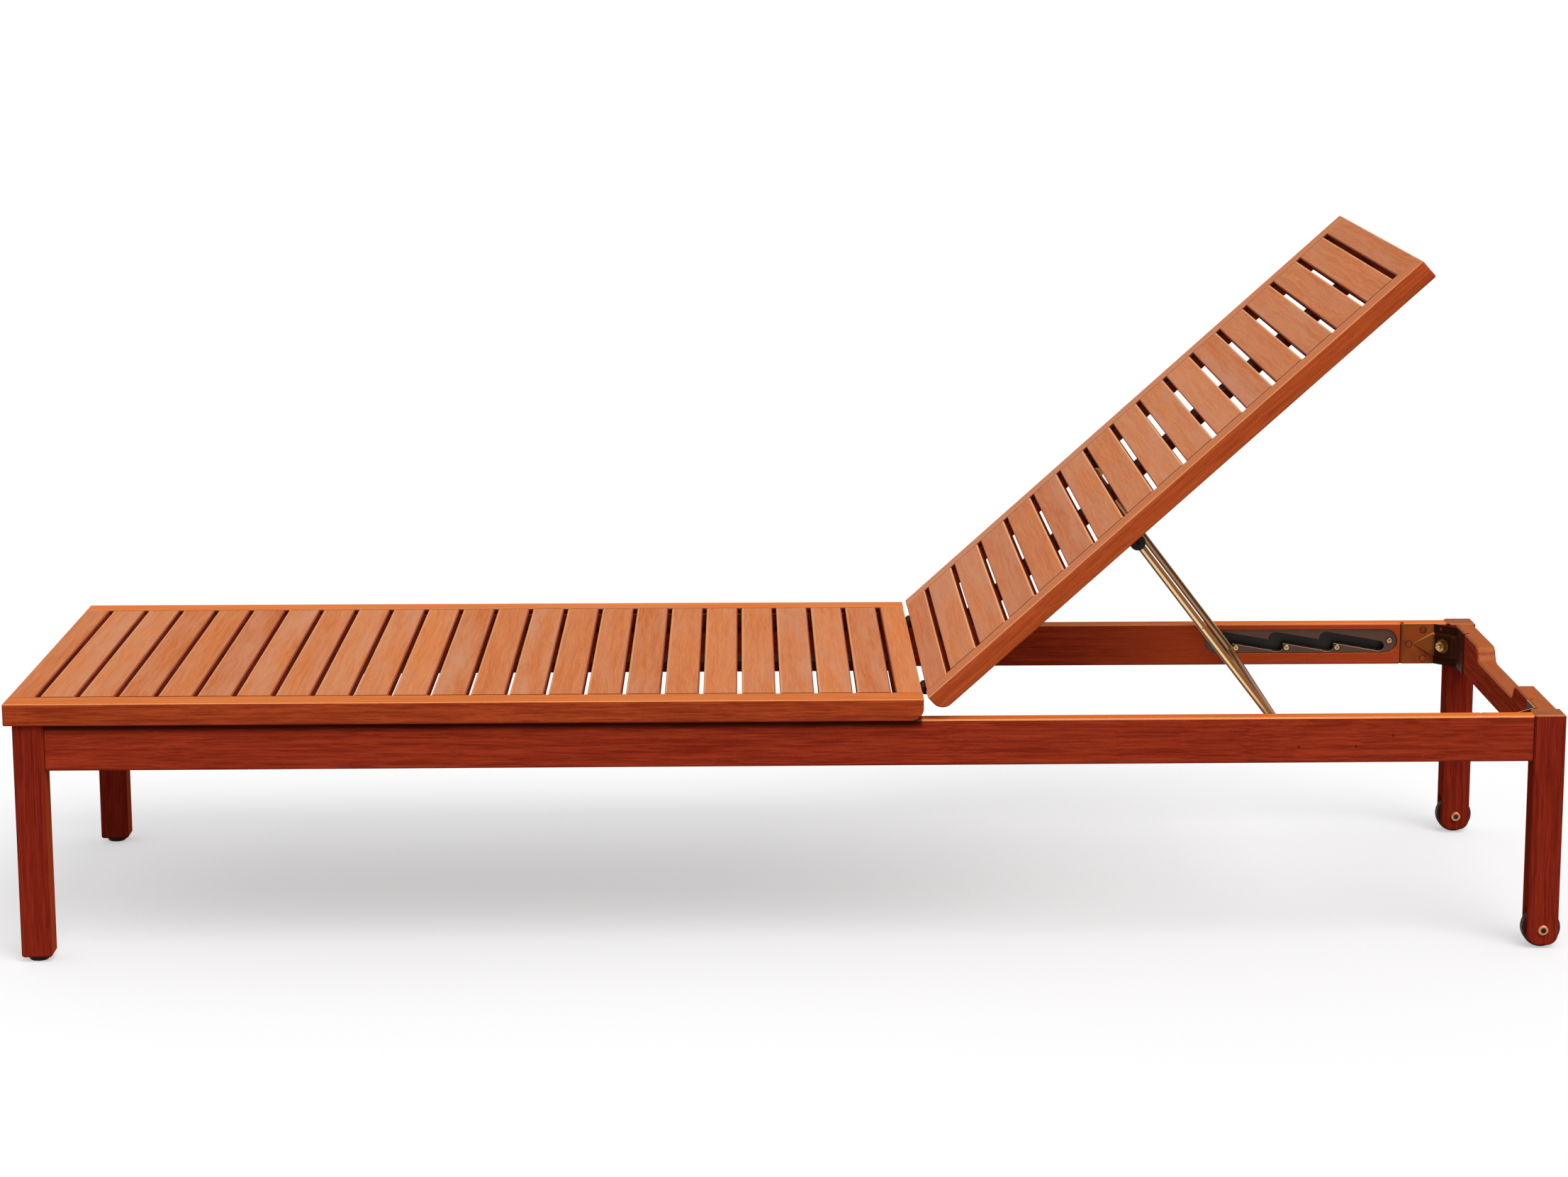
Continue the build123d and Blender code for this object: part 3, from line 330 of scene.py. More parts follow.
class Shade:
    """A shader value that Python arithmetic can use."""

    def __init__(self, nodes, socket):
        self.nodes = nodes
        self.socket = socket

    def combine(self, operation, first, second):
        return self.nodes.node("ShaderNodeMath", {"operation": operation}, {0: first, 1: second})

    def __add__(self, other):
        return self.combine("ADD", self, other)

    def __radd__(self, other):
        return self.combine("ADD", other, self)

    def __sub__(self, other):
        return self.combine("SUBTRACT", self, other)

    def __rsub__(self, other):
        return self.combine("SUBTRACT", other, self)

    def __mul__(self, other):
        return self.combine("MULTIPLY", self, other)

    def __rmul__(self, other):
        return self.combine("MULTIPLY", other, self)

    def __truediv__(self, other):
        return self.combine("DIVIDE", self, other)


class Nodes:
    """The nodes of a material or a world, in the making."""

    def __init__(self, tree, coordinates):
        self.tree = tree
        self.place = self.node("ShaderNodeTexCoord", output=coordinates)

    def feed(self, node, inputs):
        """Set or link the sockets of a node."""
        for key, value in inputs.items():
            if isinstance(value, Shade):
                self.tree.links.new(value.socket, node.inputs[key])
            elif node.inputs[key].type == "RGBA":
                node.inputs[key].default_value = (*value[:3], 1)
            else:
                node.inputs[key].default_value = value

    def node(self, kind, settings=None, inputs=None, output=0):
        """Add a node, set it up, and return one of its outputs."""
        node = self.tree.nodes.new(kind)
        for key, value in (settings or {}).items():
            setattr(node, key, value)
        self.feed(node, inputs or {})
        return Shade(self, node.outputs[output])

    def along(self, direction, vector=None):
        """How far a vector, or the place that is shaded, reaches along a direction."""
        inputs = {0: vector or self.place, 1: tuple(direction)}
        return self.node("ShaderNodeVectorMath", {"operation": "DOT_PRODUCT"}, inputs, "Value")

    def size(self, value):
        """A value without its sign."""
        return self.node("ShaderNodeMath", {"operation": "ABSOLUTE"}, {0: value})

    def distance(self, first, second):
        """How far one point is from another."""
        return self.node("ShaderNodeVectorMath", {"operation": "DISTANCE"}, {0: first, 1: second}, "Value")

    def vector(self, x, y, z):
        """A vector from three values."""
        return self.node("ShaderNodeCombineXYZ", inputs={0: x, 1: y, 2: z})

    def noise(self, vector, scale=1.0, detail=2.0, roughness=0.5):
        """Smooth noise at a point."""
        inputs = {"Vector": vector, "Scale": scale, "Detail": detail, "Roughness": roughness}
        return self.node("ShaderNodeTexNoise", inputs=inputs)

    def ease(self, value, low, high):
        """Nought below low, one above high, and a smooth change between them."""
        inputs = {"Value": value, "From Min": low, "From Max": high}
        return self.node("ShaderNodeMapRange", {"interpolation_type": "SMOOTHSTEP"}, inputs)

    def past(self, value, edge, softness=FACE_SOFTNESS):
        """One where a value is past an edge, and nought before it."""
        return self.ease(value, edge - softness, edge + softness)

    def mix(self, factor, first, second):
        """A colour between two colours."""
        return self.node("ShaderNodeMix", {"data_type": "RGBA"}, {0: factor, 6: first, 7: second}, 2)

    def bump(self, height, distance, strength):
        """A normal tilted by a relief."""
        inputs = {"Height": height, "Distance": distance, "Strength": strength}
        return self.node("ShaderNodeBump", inputs=inputs)


class Finish(Nodes):
    """A material in the making."""

    def __init__(self, name, **shader):
        self.material = bpy.data.materials.new(name)
        self.material.use_nodes = True
        super().__init__(self.material.node_tree, "Object")
        self.normal = self.node("ShaderNodeTexCoord", output="Normal")
        self.surface = self.tree.nodes["Principled BSDF"]
        self.feed(self.surface, shader)

    def spread(self, way):
        """How far the place on the piece is from the lounger's middle, to either side."""
        return self.size(self.along(way))

    def from_axis(self, x, z):
        """How far the place on the piece is from a line across the lounger."""
        return self.distance(self.place, self.vector(x, self.along(CROSSWAYS), z))

    def far_side(self):
        """One on the pieces to the right of the lounger's middle, and nought on those to the left."""
        return self.past(self.along(CROSSWAYS), 0, HALF_SOFTNESS)

    def finish(self, **sockets):
        """Link the shader's own sockets and hand over the material."""
        self.feed(self.surface, {key.replace("_", " "): value for key, value in sockets.items()})
        return self.material


def wood(name, settings, grain, top, tops, sides, boards, seams=None, paint=None, lit=None, edge_highlight_share=0.6):
    """Oiled wood whose grain runs along one direction, with a tone of its own for each board.

    The faces that look to the top are painted as lit, with a light, a dark and a patchy colour that is partly
    dry wear and partly painted sheen, and the sides are painted in shade, with a light and a dark colour. Long
    eased edges get a painted highlight, or only those that look towards the lit direction, and those that look
    away get painted shade.
    """
    across = grain.orthogonal().normalized() if abs(grain.dot(top)) > 0.9 else top.cross(grain)
    deep = grain.cross(across)
    skin = Finish(name, **{"Specular IOR Level": 0.0, "Coat Roughness": 0.4})
    cells = [skin.node("ShaderNodeMath", {"operation": "FLOOR"}, {0: (skin.along(way) - start) / pitch})
             for way, start, pitch in boards]
    board = skin.vector(*cells, *[0.0] * (3 - len(cells)))
    tone_draw = skin.node("ShaderNodeTexWhiteNoise", inputs={"Vector": board})
    place_draw = skin.node("ShaderNodeTexWhiteNoise", inputs={"Vector": board}, output="Color")
    shift = skin.along(BOARD_SHIFT, place_draw)
    run = skin.along(grain) + shift
    wave_place = skin.vector(run / settings.wave_length, skin.along(across) / settings.wave_length, shift)
    wave = skin.noise(wave_place)
    wide = skin.along(across) + shift + (wave - 0.5) * settings.wave_height

    def grains(long, broad, detail):
        spot = skin.vector(run / long, wide / broad, skin.along(deep) / broad)
        return skin.noise(spot, detail=detail, roughness=0.66)

    streak = grains(settings.streak_length, settings.streak_width, 5.0)
    fibre = grains(settings.fibre_length, settings.fibre_width, 2.0)
    pore = skin.ease(grains(settings.pore_length, settings.pore_width, 1.0), 0.58, 0.74)
    patch = grains(2.6 * settings.patch_size, settings.patch_size / 4, 4.0)
    figure = skin.ease(0.5 * streak + 0.5 * fibre, 0.34, 0.66)
    tone = figure * (1 - settings.board_change) + tone_draw * settings.board_change
    facing = skin.along(top, skin.normal)
    # Faces that look up take the painted lit colours, and the sides the painted shade colours
    painted_lit_top = skin.ease(facing, 0.15, 0.85)
    # The eased edges, where the painted highlight and painted shade fall
    edge_band = skin.ease(facing, 0.45, 0.62) * (1 - skin.ease(facing, 0.80, 0.92))
    cut = skin.along(grain, skin.normal)
    end_grain = skin.ease(cut * cut, 0.6, 0.9)

    side = skin.mix(figure, sides[1], sides[0])
    face = skin.mix(tone, tops[1], tops[0])
    # Pale patches on the tops, partly dry wear and partly painted sheen
    wear_and_sheen_draw = skin.along((0, 0, 1), place_draw)
    wear_and_sheen = skin.ease(patch, 0.30, 0.74) * (0.3 + 0.5 * wear_and_sheen_draw)
    face = skin.mix(wear_and_sheen, face, tops[2])
    # Painted lit colour on the tops, painted shade colour on the sides
    shown = skin.mix(painted_lit_top, side, face)
    # Edges that look away from the lit direction get painted shade in the sides' light colour, and only those
    # that look towards it keep the painted highlight
    if lit:
        towards = skin.along(lit, skin.normal)
        shown = skin.mix(edge_band * skin.ease(0 - towards, 0.1, 0.4) * 0.8, shown, sides[0])
        edge_band = edge_band * skin.ease(towards, 0.1, 0.4)
    # Painted highlight on the eased edges
    shown = skin.mix(edge_band * edge_highlight_share, shown, settings.edge)
    dark = pore * 0.26 + end_grain * 0.3
    if seams:
        way, seam, width = seams
        from_seam = skin.size(skin.spread(way) - seam)
        dark = dark + (1 - skin.ease(from_seam, 0.7 * width, width)) * painted_lit_top * 0.85
        way, start, pitch = boards[0]
        # A painted highlight along the edge of each slat that looks towards the light
        towards_highlight = math.copysign(pitch, lit.dot(way))
        off_middle = ((skin.along(way) - start) / pitch - cells[0] - 0.5) * towards_highlight
        slat_highlight = skin.past(off_middle, SLAT_WIDTH / 2 - SLAT_HIGHLIGHT_WIDTH) * painted_lit_top
        shown = skin.mix(slat_highlight * 0.55, shown, settings.edge)
    shown = skin.mix(dark, shown, settings.pore)
    if paint:
        shown = paint(skin, shown)
    return skin.finish(
        Base_Color=shown,
        Coat_Weight=painted_lit_top * 0.16,
        Roughness=0.44 + 0.22 * fibre + 0.12 * pore,
        Normal=skin.bump(fibre - 0.8 * pore, WOOD_RELIEF, 0.4),
    )


def metal(name, clean, stained, roughness, metallic, bloom=0.02, paint=None, gloss=0.5):
    """Metal with a faint bloom, painted where asked."""
    skin = Finish(name, Metallic=metallic, **{"Specular IOR Level": gloss})
    cloud = skin.noise(skin.place, 1 / bloom, 4.0, 0.6)
    line = skin.noise(skin.place, METAL_LINES, 1.0)
    stain = skin.ease(cloud, 0.46, 0.76) * 0.6
    shown = skin.mix(stain, clean, stained)
    if paint:
        shown = paint(skin, shown)
    return skin.finish(
        Base_Color=shown,
        Roughness=roughness + 0.12 * cloud + 0.05 * line,
        Normal=skin.bump(line, METAL_RELIEF, 0.35),
    )


def moulded(name, tint, roughness=0.5):
    """Moulded plastic with a fine grained face."""
    skin = Finish(name, **{"Specular IOR Level": 0.12})
    grit = skin.noise(skin.place, PLASTIC_GRIT, 2.0)
    cloud = skin.noise(skin.place, PLASTIC_CLOUDS, 3.0)
    return skin.finish(
        Base_Color=skin.mix(cloud, toned(tint, 0.75), toned(tint, 1.2)),
        Roughness=roughness + 0.2 * grit,
        Normal=skin.bump(grit, PLASTIC_RELIEF, 0.5),
    )


def dress(material, *names):
    """Put a material on whole pieces of the lounger."""
    for name in names:
        for slot in NODES[name].material_slots:
            slot.material = material


def pair(name):
    """The names of a left piece and its right twin."""
    return [f"{name}_{side}" for side in SIDES]


def slat_pitch(deck_length, count):
    """The distance from one slat to the next."""
    gap = (deck_length - 2 * END_BAR_WIDTH - count * SLAT_WIDTH) / (count + 1)
    return SLAT_WIDTH + gap


def slat_middles(deck_length, count):
    """How far the middle of each slat is from the hinge."""
    middle = HINGE_HALF_GAP + deck_length / 2
    pitch = slat_pitch(deck_length, count)
    return [middle + (index - (count - 1) / 2) * pitch for index in range(count)]


def paint_deck_rail(settings):
    """The inner faces of a deck's rails get painted shade between the slats."""
    def paint(skin, shown):
        # Painted shade on the rails' inner faces
        inside = 1 - skin.past(skin.spread(CROSSWAYS), DECK_RAIL_INSIDE)
        return skin.mix(inside * 0.75, shown, settings.pore)
    return paint


class LOUNGER_OT_seat_wood(bpy.types.Operator):
    """Dress the seat's rails, bars, slats and batten"""

    bl_idname = "lounger.seat_wood"
    bl_label = "Seat Wood"

    def execute(self, context):
        settings = context.scene.lounger_wood
        pitch = slat_pitch(SEAT_LENGTH, SEAT_SLATS)
        first_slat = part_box("seat_slats")[0][0] - (pitch - SLAT_WIDTH) / 2
        tops = (settings.top_light, settings.top_dark, settings.top_wear_and_sheen)
        sides = (settings.slat_light, settings.slat_dark)
        rail_tops = (settings.rail_light, settings.top_dark, settings.top_light)
        rail_sides = (settings.deck_light, settings.deck_dark)
        batten_shade = (settings.batten_light, settings.batten_dark)
        crossing = (settings, CROSSWAYS, UP, tops, sides, [(LENGTHWAYS, first_slat, pitch)])
        slats = wood("seat_slat_wood", *crossing, SEAM, lit=-LENGTHWAYS)
        rails = wood("seat_rail_wood", settings, LENGTHWAYS, UP, rail_tops, rail_sides, DECK_PIECES,
                     paint=paint_deck_rail(settings))
        foot_bar = wood("seat_bar_wood", *crossing, lit=-LENGTHWAYS)
        hinge_bar = wood("hinge_bar_wood", *crossing, lit=LENGTHWAYS)
        batten = wood("seat_batten_wood", settings, LENGTHWAYS, UP, batten_shade + batten_shade[:1], batten_shade, DECK_PIECES)
        dress(slats, "seat_slats")
        dress(rails, *pair("seat_rail"))
        dress(foot_bar, "seat_foot_bar")
        dress(hinge_bar, "seat_hinge_bar")
        dress(batten, "seat_batten")
        return {"FINISHED"}


class LOUNGER_OT_back_wood(bpy.types.Operator):
    """Dress the back's rails, bars, slats and batten"""

    bl_idname = "lounger.back_wood"
    bl_label = "Back Wood"

    def execute(self, context):
        settings = context.scene.lounger_wood
        pitch = slat_pitch(BACK_LENGTH, BACK_SLATS)
        first_slat = HINGE.dot(BACK_ALONG) + HINGE_HALF_GAP + END_BAR_WIDTH + (pitch - SLAT_WIDTH) / 2
        tops = (settings.lit_light, settings.lit_dark, settings.lit_wear_and_sheen)
        sides = (settings.slat_light, settings.slat_dark)
        rail_sides = (settings.back_light, settings.back_dark)
        batten_shade = (settings.batten_light, settings.batten_dark)
        crossing = (settings, CROSSWAYS, BACK_UP, tops, sides, [(BACK_ALONG, first_slat, pitch)])
        slats = wood("back_slat_wood", *crossing, SEAM, lit=BACK_ALONG)
        rails = wood("back_rail_wood", settings, BACK_ALONG, BACK_UP, tops, rail_sides, DECK_PIECES,
                     paint=paint_deck_rail(settings))
        bars = wood("back_bar_wood", *crossing, lit=BACK_ALONG)
        batten = wood("back_batten_wood", settings, BACK_ALONG, BACK_UP, batten_shade + batten_shade[:1], batten_shade,
                      DECK_PIECES)
        dress(slats, "back_slats")
        dress(rails, *pair("back_rail"))
        dress(bars, "back_lower_bar", "back_head_bar")
        dress(batten, "back_batten")
        return {"FINISHED"}


def paint_leg(settings):
    """A leg has painted light on the side towards the head end."""
    def paint(skin, shown):
        # Painted light on the side that looks to the head
        turned = skin.ease(skin.along(LENGTHWAYS, skin.normal), 0.74, 0.9)
        return skin.mix(turned * 0.6, shown, settings.inner)
    return paint


def paint_side_rail(settings):
    """A side rail has painted light on its inside towards the head, painted shadow close below the seat, and
    three filled nail holes.
    """
    def paint(skin, shown):
        # Painted light on the inside, growing towards the head
        inside = 1 - skin.past(skin.spread(CROSSWAYS), SIDE_RAIL_INSIDE)
        towards_head = skin.ease(skin.along(LENGTHWAYS), *PALE_INSIDE)
        shown = skin.mix(inside * towards_head * 0.5, shown, settings.inner)
        # Painted shadow close below the seat
        under_seat = 1 - skin.ease(skin.along(LENGTHWAYS), SEAT_END - SEAT_END_SOFTNESS, SEAT_END)
        close = skin.ease(skin.along(UP), *(RAIL_TOP - depth for depth in SEAT_SHADOW_DEPTHS))
        shown = skin.mix(under_seat * close * 0.85, shown, settings.seat_shadow)
        for x, z in NAIL_HOLES:
            hole = 1 - skin.ease(skin.from_axis(x, z), *NAIL_HOLE_EDGE)
            shown = skin.mix(hole * 0.7, shown, settings.pore)
        return shown
    return paint


class LOUNGER_OT_base_wood(bpy.types.Operator):
    """Dress the legs and rails of the base"""

    bl_idname = "lounger.base_wood"
    bl_label = "Base Wood"

    def execute(self, context):
        settings = context.scene.lounger_wood
        leg_tops = (settings.cap_light, settings.cap_dark, settings.cap_light)
        leg_sides = (settings.leg_light, settings.leg_dark)
        side_tops = (settings.rail_light, settings.rail_dark, settings.rail_light)
        side_sides = (settings.base_light, settings.base_dark)
        end_tops = (settings.end_light, settings.end_dark, settings.end_light)
        end_sides = (settings.cross_light, settings.cross_dark)
        legs = wood("leg_wood", settings, UP, UP, leg_tops, leg_sides, FOOT_AND_HEAD + LEFT_AND_RIGHT,
                    paint=paint_leg(settings), edge_highlight_share=0.1)
        side_rails = wood("side_rail_wood", settings, LENGTHWAYS, UP, side_tops, side_sides, LEFT_AND_RIGHT,
                          paint=paint_side_rail(settings))
        end_rails = wood("end_rail_wood", settings, CROSSWAYS, UP, end_tops, end_sides, FOOT_AND_HEAD,
                         edge_highlight_share=0.12)
        dress(legs, *pair("foot_leg"), *pair("head_leg"), "deck_dowels")
        dress(side_rails, *pair("side_rail"))
        dress(end_rails, "foot_rail", "head_rail")
        return {"FINISHED"}


def paint_bracket(settings, corner):
    """A bracket has painted shade in its formed middle, on the end rail and round its screws, and a painted
    highlight along its ridges.
    """
    def paint(skin, shown):
        from_side = corner[0] - skin.spread(CROSSWAYS)
        from_end = corner[1] - skin.spread(LENGTHWAYS)
        off_side = skin.past(from_side, FORMED_REACH, FORMED_SOFTNESS)
        off_end = skin.past(from_end, FORMED_REACH, FORMED_SOFTNESS)
        formed = (1 - off_side) * (1 - off_end)
        on_end_rail = (1 - skin.ease(from_end, *END_FLANGE)) * off_side
        lengthways, crossways, above = (skin.along(way, skin.normal) for way in (LENGTHWAYS, CROSSWAYS, UP))
        lengthways, crossways = lengthways * lengthways, crossways * crossways
        nose = 1 - skin.ease(lengthways + crossways - 2 * lengthways * crossways, 0.9, 0.985)
        looks_down = skin.ease(0 - above, 0.1, 0.3)
        shown = skin.mix(nose * (1 - looks_down) * 0.7, shown, settings.bronze_olive)
        rings = 1
        for along, height in FLANGE_SCREWS:
            for flange in (from_side, from_end):
                spot = skin.vector(flange, 0.0, skin.along(UP))
                reach = skin.distance(spot, (along, 0, BRACKET_MIDDLE + height))
                rings = rings * skin.ease(reach, *FLANGE_RING)
        # Painted shade round the screws and on the end rail's flange
        shown = skin.mix((1 - rings) * 0.7 + on_end_rail * 0.85, shown, settings.bronze_dark)
        # Painted shade over the formed middle
        shown = skin.mix(formed * 0.95, shown, settings.bronze_dark)
        far = skin.far_side()
        # Painted highlight on the faces that look up
        ridge = skin.ease(above, 0.12, 0.4) * (1 - formed * far) * (1 - on_end_rail * far)
        return skin.mix(ridge * 0.8, shown, settings.bronze_highlight)
    return paint


def paint_rack(settings):
    """A rack plate has painted shade, in black, in its trough and round its screws, painted light on the
    trough's floors, and a painted highlight along its upper edges.
    """
    def paint(skin, shown):
        front = skin.size(skin.along(CROSSWAYS, skin.normal))
        above = skin.along(UP, skin.normal)
        rings = 1
        for x, z in RACK_SCREWS:
            reach = skin.from_axis(RACK_MIDDLE[0] + x, RACK_MIDDLE[1] + z)
            rings = rings * skin.ease(reach, *RACK_RING)
        edge = skin.ease(front, 0.3, 0.6) * (1 - skin.ease(front, 0.8, 0.95)) * skin.ease(above, 0.1, 0.5)
        inside = skin.ease(skin.spread(CROSSWAYS), *TROUGH)
        # Painted shade round the screws
        shown = skin.mix((1 - rings) * 0.85, shown, settings.black)
        # Painted highlight on the edges that look up
        shown = skin.mix(edge * 0.8, shown, settings.rack_highlight)
        # Painted shade in the trough, less on its floors, which take painted light
        return skin.mix(inside * (1 - 0.6 * skin.ease(above, 0.5, 0.9)), shown, settings.black)
    return paint


def paint_socket(settings):
    """The socket in the head of a wheel's bolt is painted black as shade, inside a brown ring."""
    def paint(skin, shown):
        reach = skin.from_axis(AXLE.x, AXLE.z)
        shown = skin.mix(1 - skin.ease(reach, *SOCKET_RING), shown, settings.brass_dark)
        # Painted shade, black, in the socket
        return skin.mix(1 - skin.ease(reach, *SOCKET_EDGE), shown, settings.black)
    return paint


def paint_recess(settings):
    """The recess and the rim of a rack's screw get painted shade, in black."""
    def paint(skin, shown):
        # Painted shade in the recess and on the rim
        sunk = skin.ease(skin.spread(CROSSWAYS), *RACK_RECESS)
        return skin.mix(sunk * 0.85, shown, settings.black)
    return paint


def paint_rod(settings, across, far_shade=0.0):
    """A drawn rod is painted with reflection along its length: a pale highlight in the middle and darker
    streaks to both sides of that, with painted shade and a glint on a far arm.
    """
    def paint(skin, shown):
        turn = skin.along(across, skin.normal)
        far = skin.far_side() * far_shade
        # Painted highlight along the middle, and a painted glint along the far arm's edge
        pale = skin.ease(turn, -0.08, 0.06) * (1 - skin.ease(turn, 0.46, 0.60)) * (1 - far)
        glint = (1 - skin.ease(turn, -0.92, -0.78)) * far
        # Painted reflection in darker streaks to both sides, and painted shade over the far arm
        below = skin.ease(turn, 0.52, 0.64) * (1 - skin.ease(turn, 0.90, 0.97))
        above = (1 - skin.ease(turn, -0.26, -0.08)) * 0.65
        shown = skin.mix(below + above + 0.5 * far, settings.copper, settings.brass_dark)
        return skin.mix(pale + glint, shown, settings.brass_highlight)
    return paint


def paint_flange_screw(settings):
    """The rims of the brackets' screws get painted shade, and so do the screws that face along the lounger."""
    def paint(skin, shown):
        turned, crossed = (skin.along(way, skin.normal) for way in (LENGTHWAYS, CROSSWAYS))
        # Painted shade on the rims and on the screws that face along the lounger
        rim = 1 - skin.ease(crossed * crossed, 0.75, 0.95)
        return skin.mix(skin.ease(rim + turned * turned, 0.4, 0.8) * 0.8, shown, settings.bronze_dark)
    return paint


def paint_pivot(settings):
    """The outer end of a prop's pivot is blackened with its plate."""
    def paint(skin, shown):
        return skin.mix(skin.past(skin.spread(CROSSWAYS), PIVOT_END), shown, settings.black)
    return paint


class LOUNGER_OT_metalwork(bpy.types.Operator):
    """Dress the prop, hinges, brackets, racks and bolts"""

    bl_idname = "lounger.metalwork"
    bl_label = "Metalwork"

    def execute(self, context):
        settings = context.scene.lounger_metal
        tones = (settings.brass, settings.brass_stain)
        low, high = (Vector(corner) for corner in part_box("prop_bar"))
        rod = (low + high) / 2 - PIVOT
        rod.y = 0
        rod.normalize()
        arms = metal("prop_brass", *tones, roughness=0.2, metallic=0.35, bloom=0.05,
                     paint=paint_rod(settings, CROSSWAYS.cross(rod), far_shade=0.7))
        bar = metal("crossbar_brass", *tones, roughness=0.2, metallic=0.35, bloom=0.05,
                    paint=paint_rod(settings, UP))
        brass = metal("bolt_brass", *tones, roughness=0.2, metallic=1.0)
        washers = metal("washer_brass", settings.bronze_olive, settings.bronze_dark, roughness=0.3,
                        metallic=0.8)
        pivots = metal("pivot_brass", settings.brass_stain, settings.black, roughness=0.3, metallic=1.0,
                       paint=paint_pivot(settings))
        sockets = metal("wheel_bolt_brass", settings.bolt, settings.copper, roughness=0.25, metallic=0.6,
                        paint=paint_socket(settings))
        rack = metal("rack_coat", settings.rack, toned(settings.rack, 0.8), roughness=0.36, metallic=0.3,
                     paint=paint_rack(settings))
        # Painted shade on the hinges
        brown = metal("hinge_painted_shade", settings.hinge, settings.black, roughness=0.6, metallic=0.0, gloss=0.1)
        black = metal("black_coat", settings.black, toned(settings.black, 0.6), roughness=0.5, metallic=0.0,
                      gloss=0.2)
        metal("screw_brass", *tones, roughness=0.2, metallic=0.8, paint=paint_recess(settings))
        metal("screw_bronze", settings.bronze, settings.bronze_dark, roughness=0.3, metallic=0.7,
              paint=paint_flange_screw(settings))
        for end in ("foot", "head"):
            reach = max(abs(corner[0]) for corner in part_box(f"corner_bracket_{end}_left")) - BRACKET_LIP
            bronze = metal(f"bracket_bronze_{end}", settings.bronze, settings.bronze_dark, roughness=0.46,
                           metallic=0.06, bloom=0.05, gloss=0.05,
                           paint=paint_bracket(settings, (BRACKET_SIDE, reach)))
            dress(bronze, *pair(f"corner_bracket_{end}"))
        dress(arms, *pair("prop_arm"))
        dress(bar, "prop_bar")
        dress(brass, "hanger_bolts", "hanger_nuts")
        dress(washers, "hanger_washers")
        dress(pivots, *pair("prop_pivot"))
        dress(sockets, *pair("wheel_bolt"), *pair("wheel_cap_nut"))
        dress(rack, *pair("rack_plate"))
        dress(black, *pair("prop_plate"))
        dress(brown, *pair("hinge_seat_leaf"), *pair("hinge_back_leaf"), "hinge_pins")
        return {"FINISHED"}


class LOUNGER_OT_plastics(bpy.types.Operator):
    """Dress the wheels, their bushes and the glides"""

    bl_idname = "lounger.plastics"
    bl_label = "Plastics"

    def execute(self, context):
        settings = context.scene.lounger_metal
        dress(moulded("wheel_plastic", settings.plastic, 0.42), *pair("wheel"))
        dress(moulded("glide_plastic", settings.plastic), *pair("foot_glide"))
        dress(moulded("bush_plastic", settings.bush), *pair("wheel_bush"))
        return {"FINISHED"}


def only(*objects):
    """Select these objects alone, the last of them active."""
    bpy.ops.object.select_all(action="DESELECT")
    for item in objects:
        item.select_set(True)
        bpy.context.view_layer.objects.active = item


def cross_head(radius, height):
    """The head of a screw, domed, with a cross recess, standing on the origin."""
    bpy.ops.object.select_all(action="DESELECT")
    bpy.ops.mesh.primitive_cylinder_add(
        vertices=HEAD_SIDES, radius=radius, depth=height, location=(0, 0, height / 2)
    )
    head = bpy.context.object
    bpy.ops.object.transform_apply(location=True, rotation=True, scale=True)
    bpy.ops.object.mode_set(mode="EDIT")
    bpy.ops.mesh.select_all(action="DESELECT")
    bpy.ops.object.mode_set(mode="OBJECT")
    for edge in head.data.edges:
        edge.select = all(head.data.vertices[index].co.z > height / 2 for index in edge.vertices)
    bpy.ops.object.mode_set(mode="EDIT")
    bpy.ops.mesh.bevel(offset=HEAD_ROUNDING * height, segments=3, affect="EDGES")
    bpy.ops.object.mode_set(mode="OBJECT")
    for turn in (0, math.pi / 2):
        bpy.ops.mesh.primitive_cube_add(size=1, location=(0, 0, height), rotation=(0, 0, turn))
        cutter = bpy.context.object
        cutter.scale = (RECESS_LENGTH * radius, RECESS_WIDTH * radius, height)
        only(head)
        cut = head.modifiers.new("recess", "BOOLEAN")
        cut.object = cutter
        cut.operation = "DIFFERENCE"
        cut.solver = "EXACT"
        bpy.ops.object.modifier_apply(modifier=cut.name)
        bpy.data.objects.remove(cutter, do_unlink=True)
    return head


def set_screws(name, head, places, material, body):
    """Copy a screw head to each place and outward direction, as one piece of the lounger."""
    copies = []
    for index, (spot, outward) in enumerate(places):
        copy = head.copy()
        copy.data = head.data.copy()
        bpy.context.collection.objects.link(copy)
        facing = outward.to_track_quat("Z", "Y").to_matrix().to_4x4()
        turn = Matrix.Rotation(SCREW_TURN * index, 4, "Z")
        copy.matrix_world = Matrix.Translation(spot) @ facing @ turn
        copies.append(copy)
    only(*copies)
    bpy.ops.object.transform_apply(location=True, rotation=True, scale=True)
    bpy.ops.object.join()
    piece = bpy.context.object
    piece.name = name
    piece.data.name = name
    bpy.ops.object.shade_smooth_by_angle(angle=SMOOTH_ANGLE)
    piece.data.materials.clear()
    piece.data.materials.append(material)
    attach(piece, body)


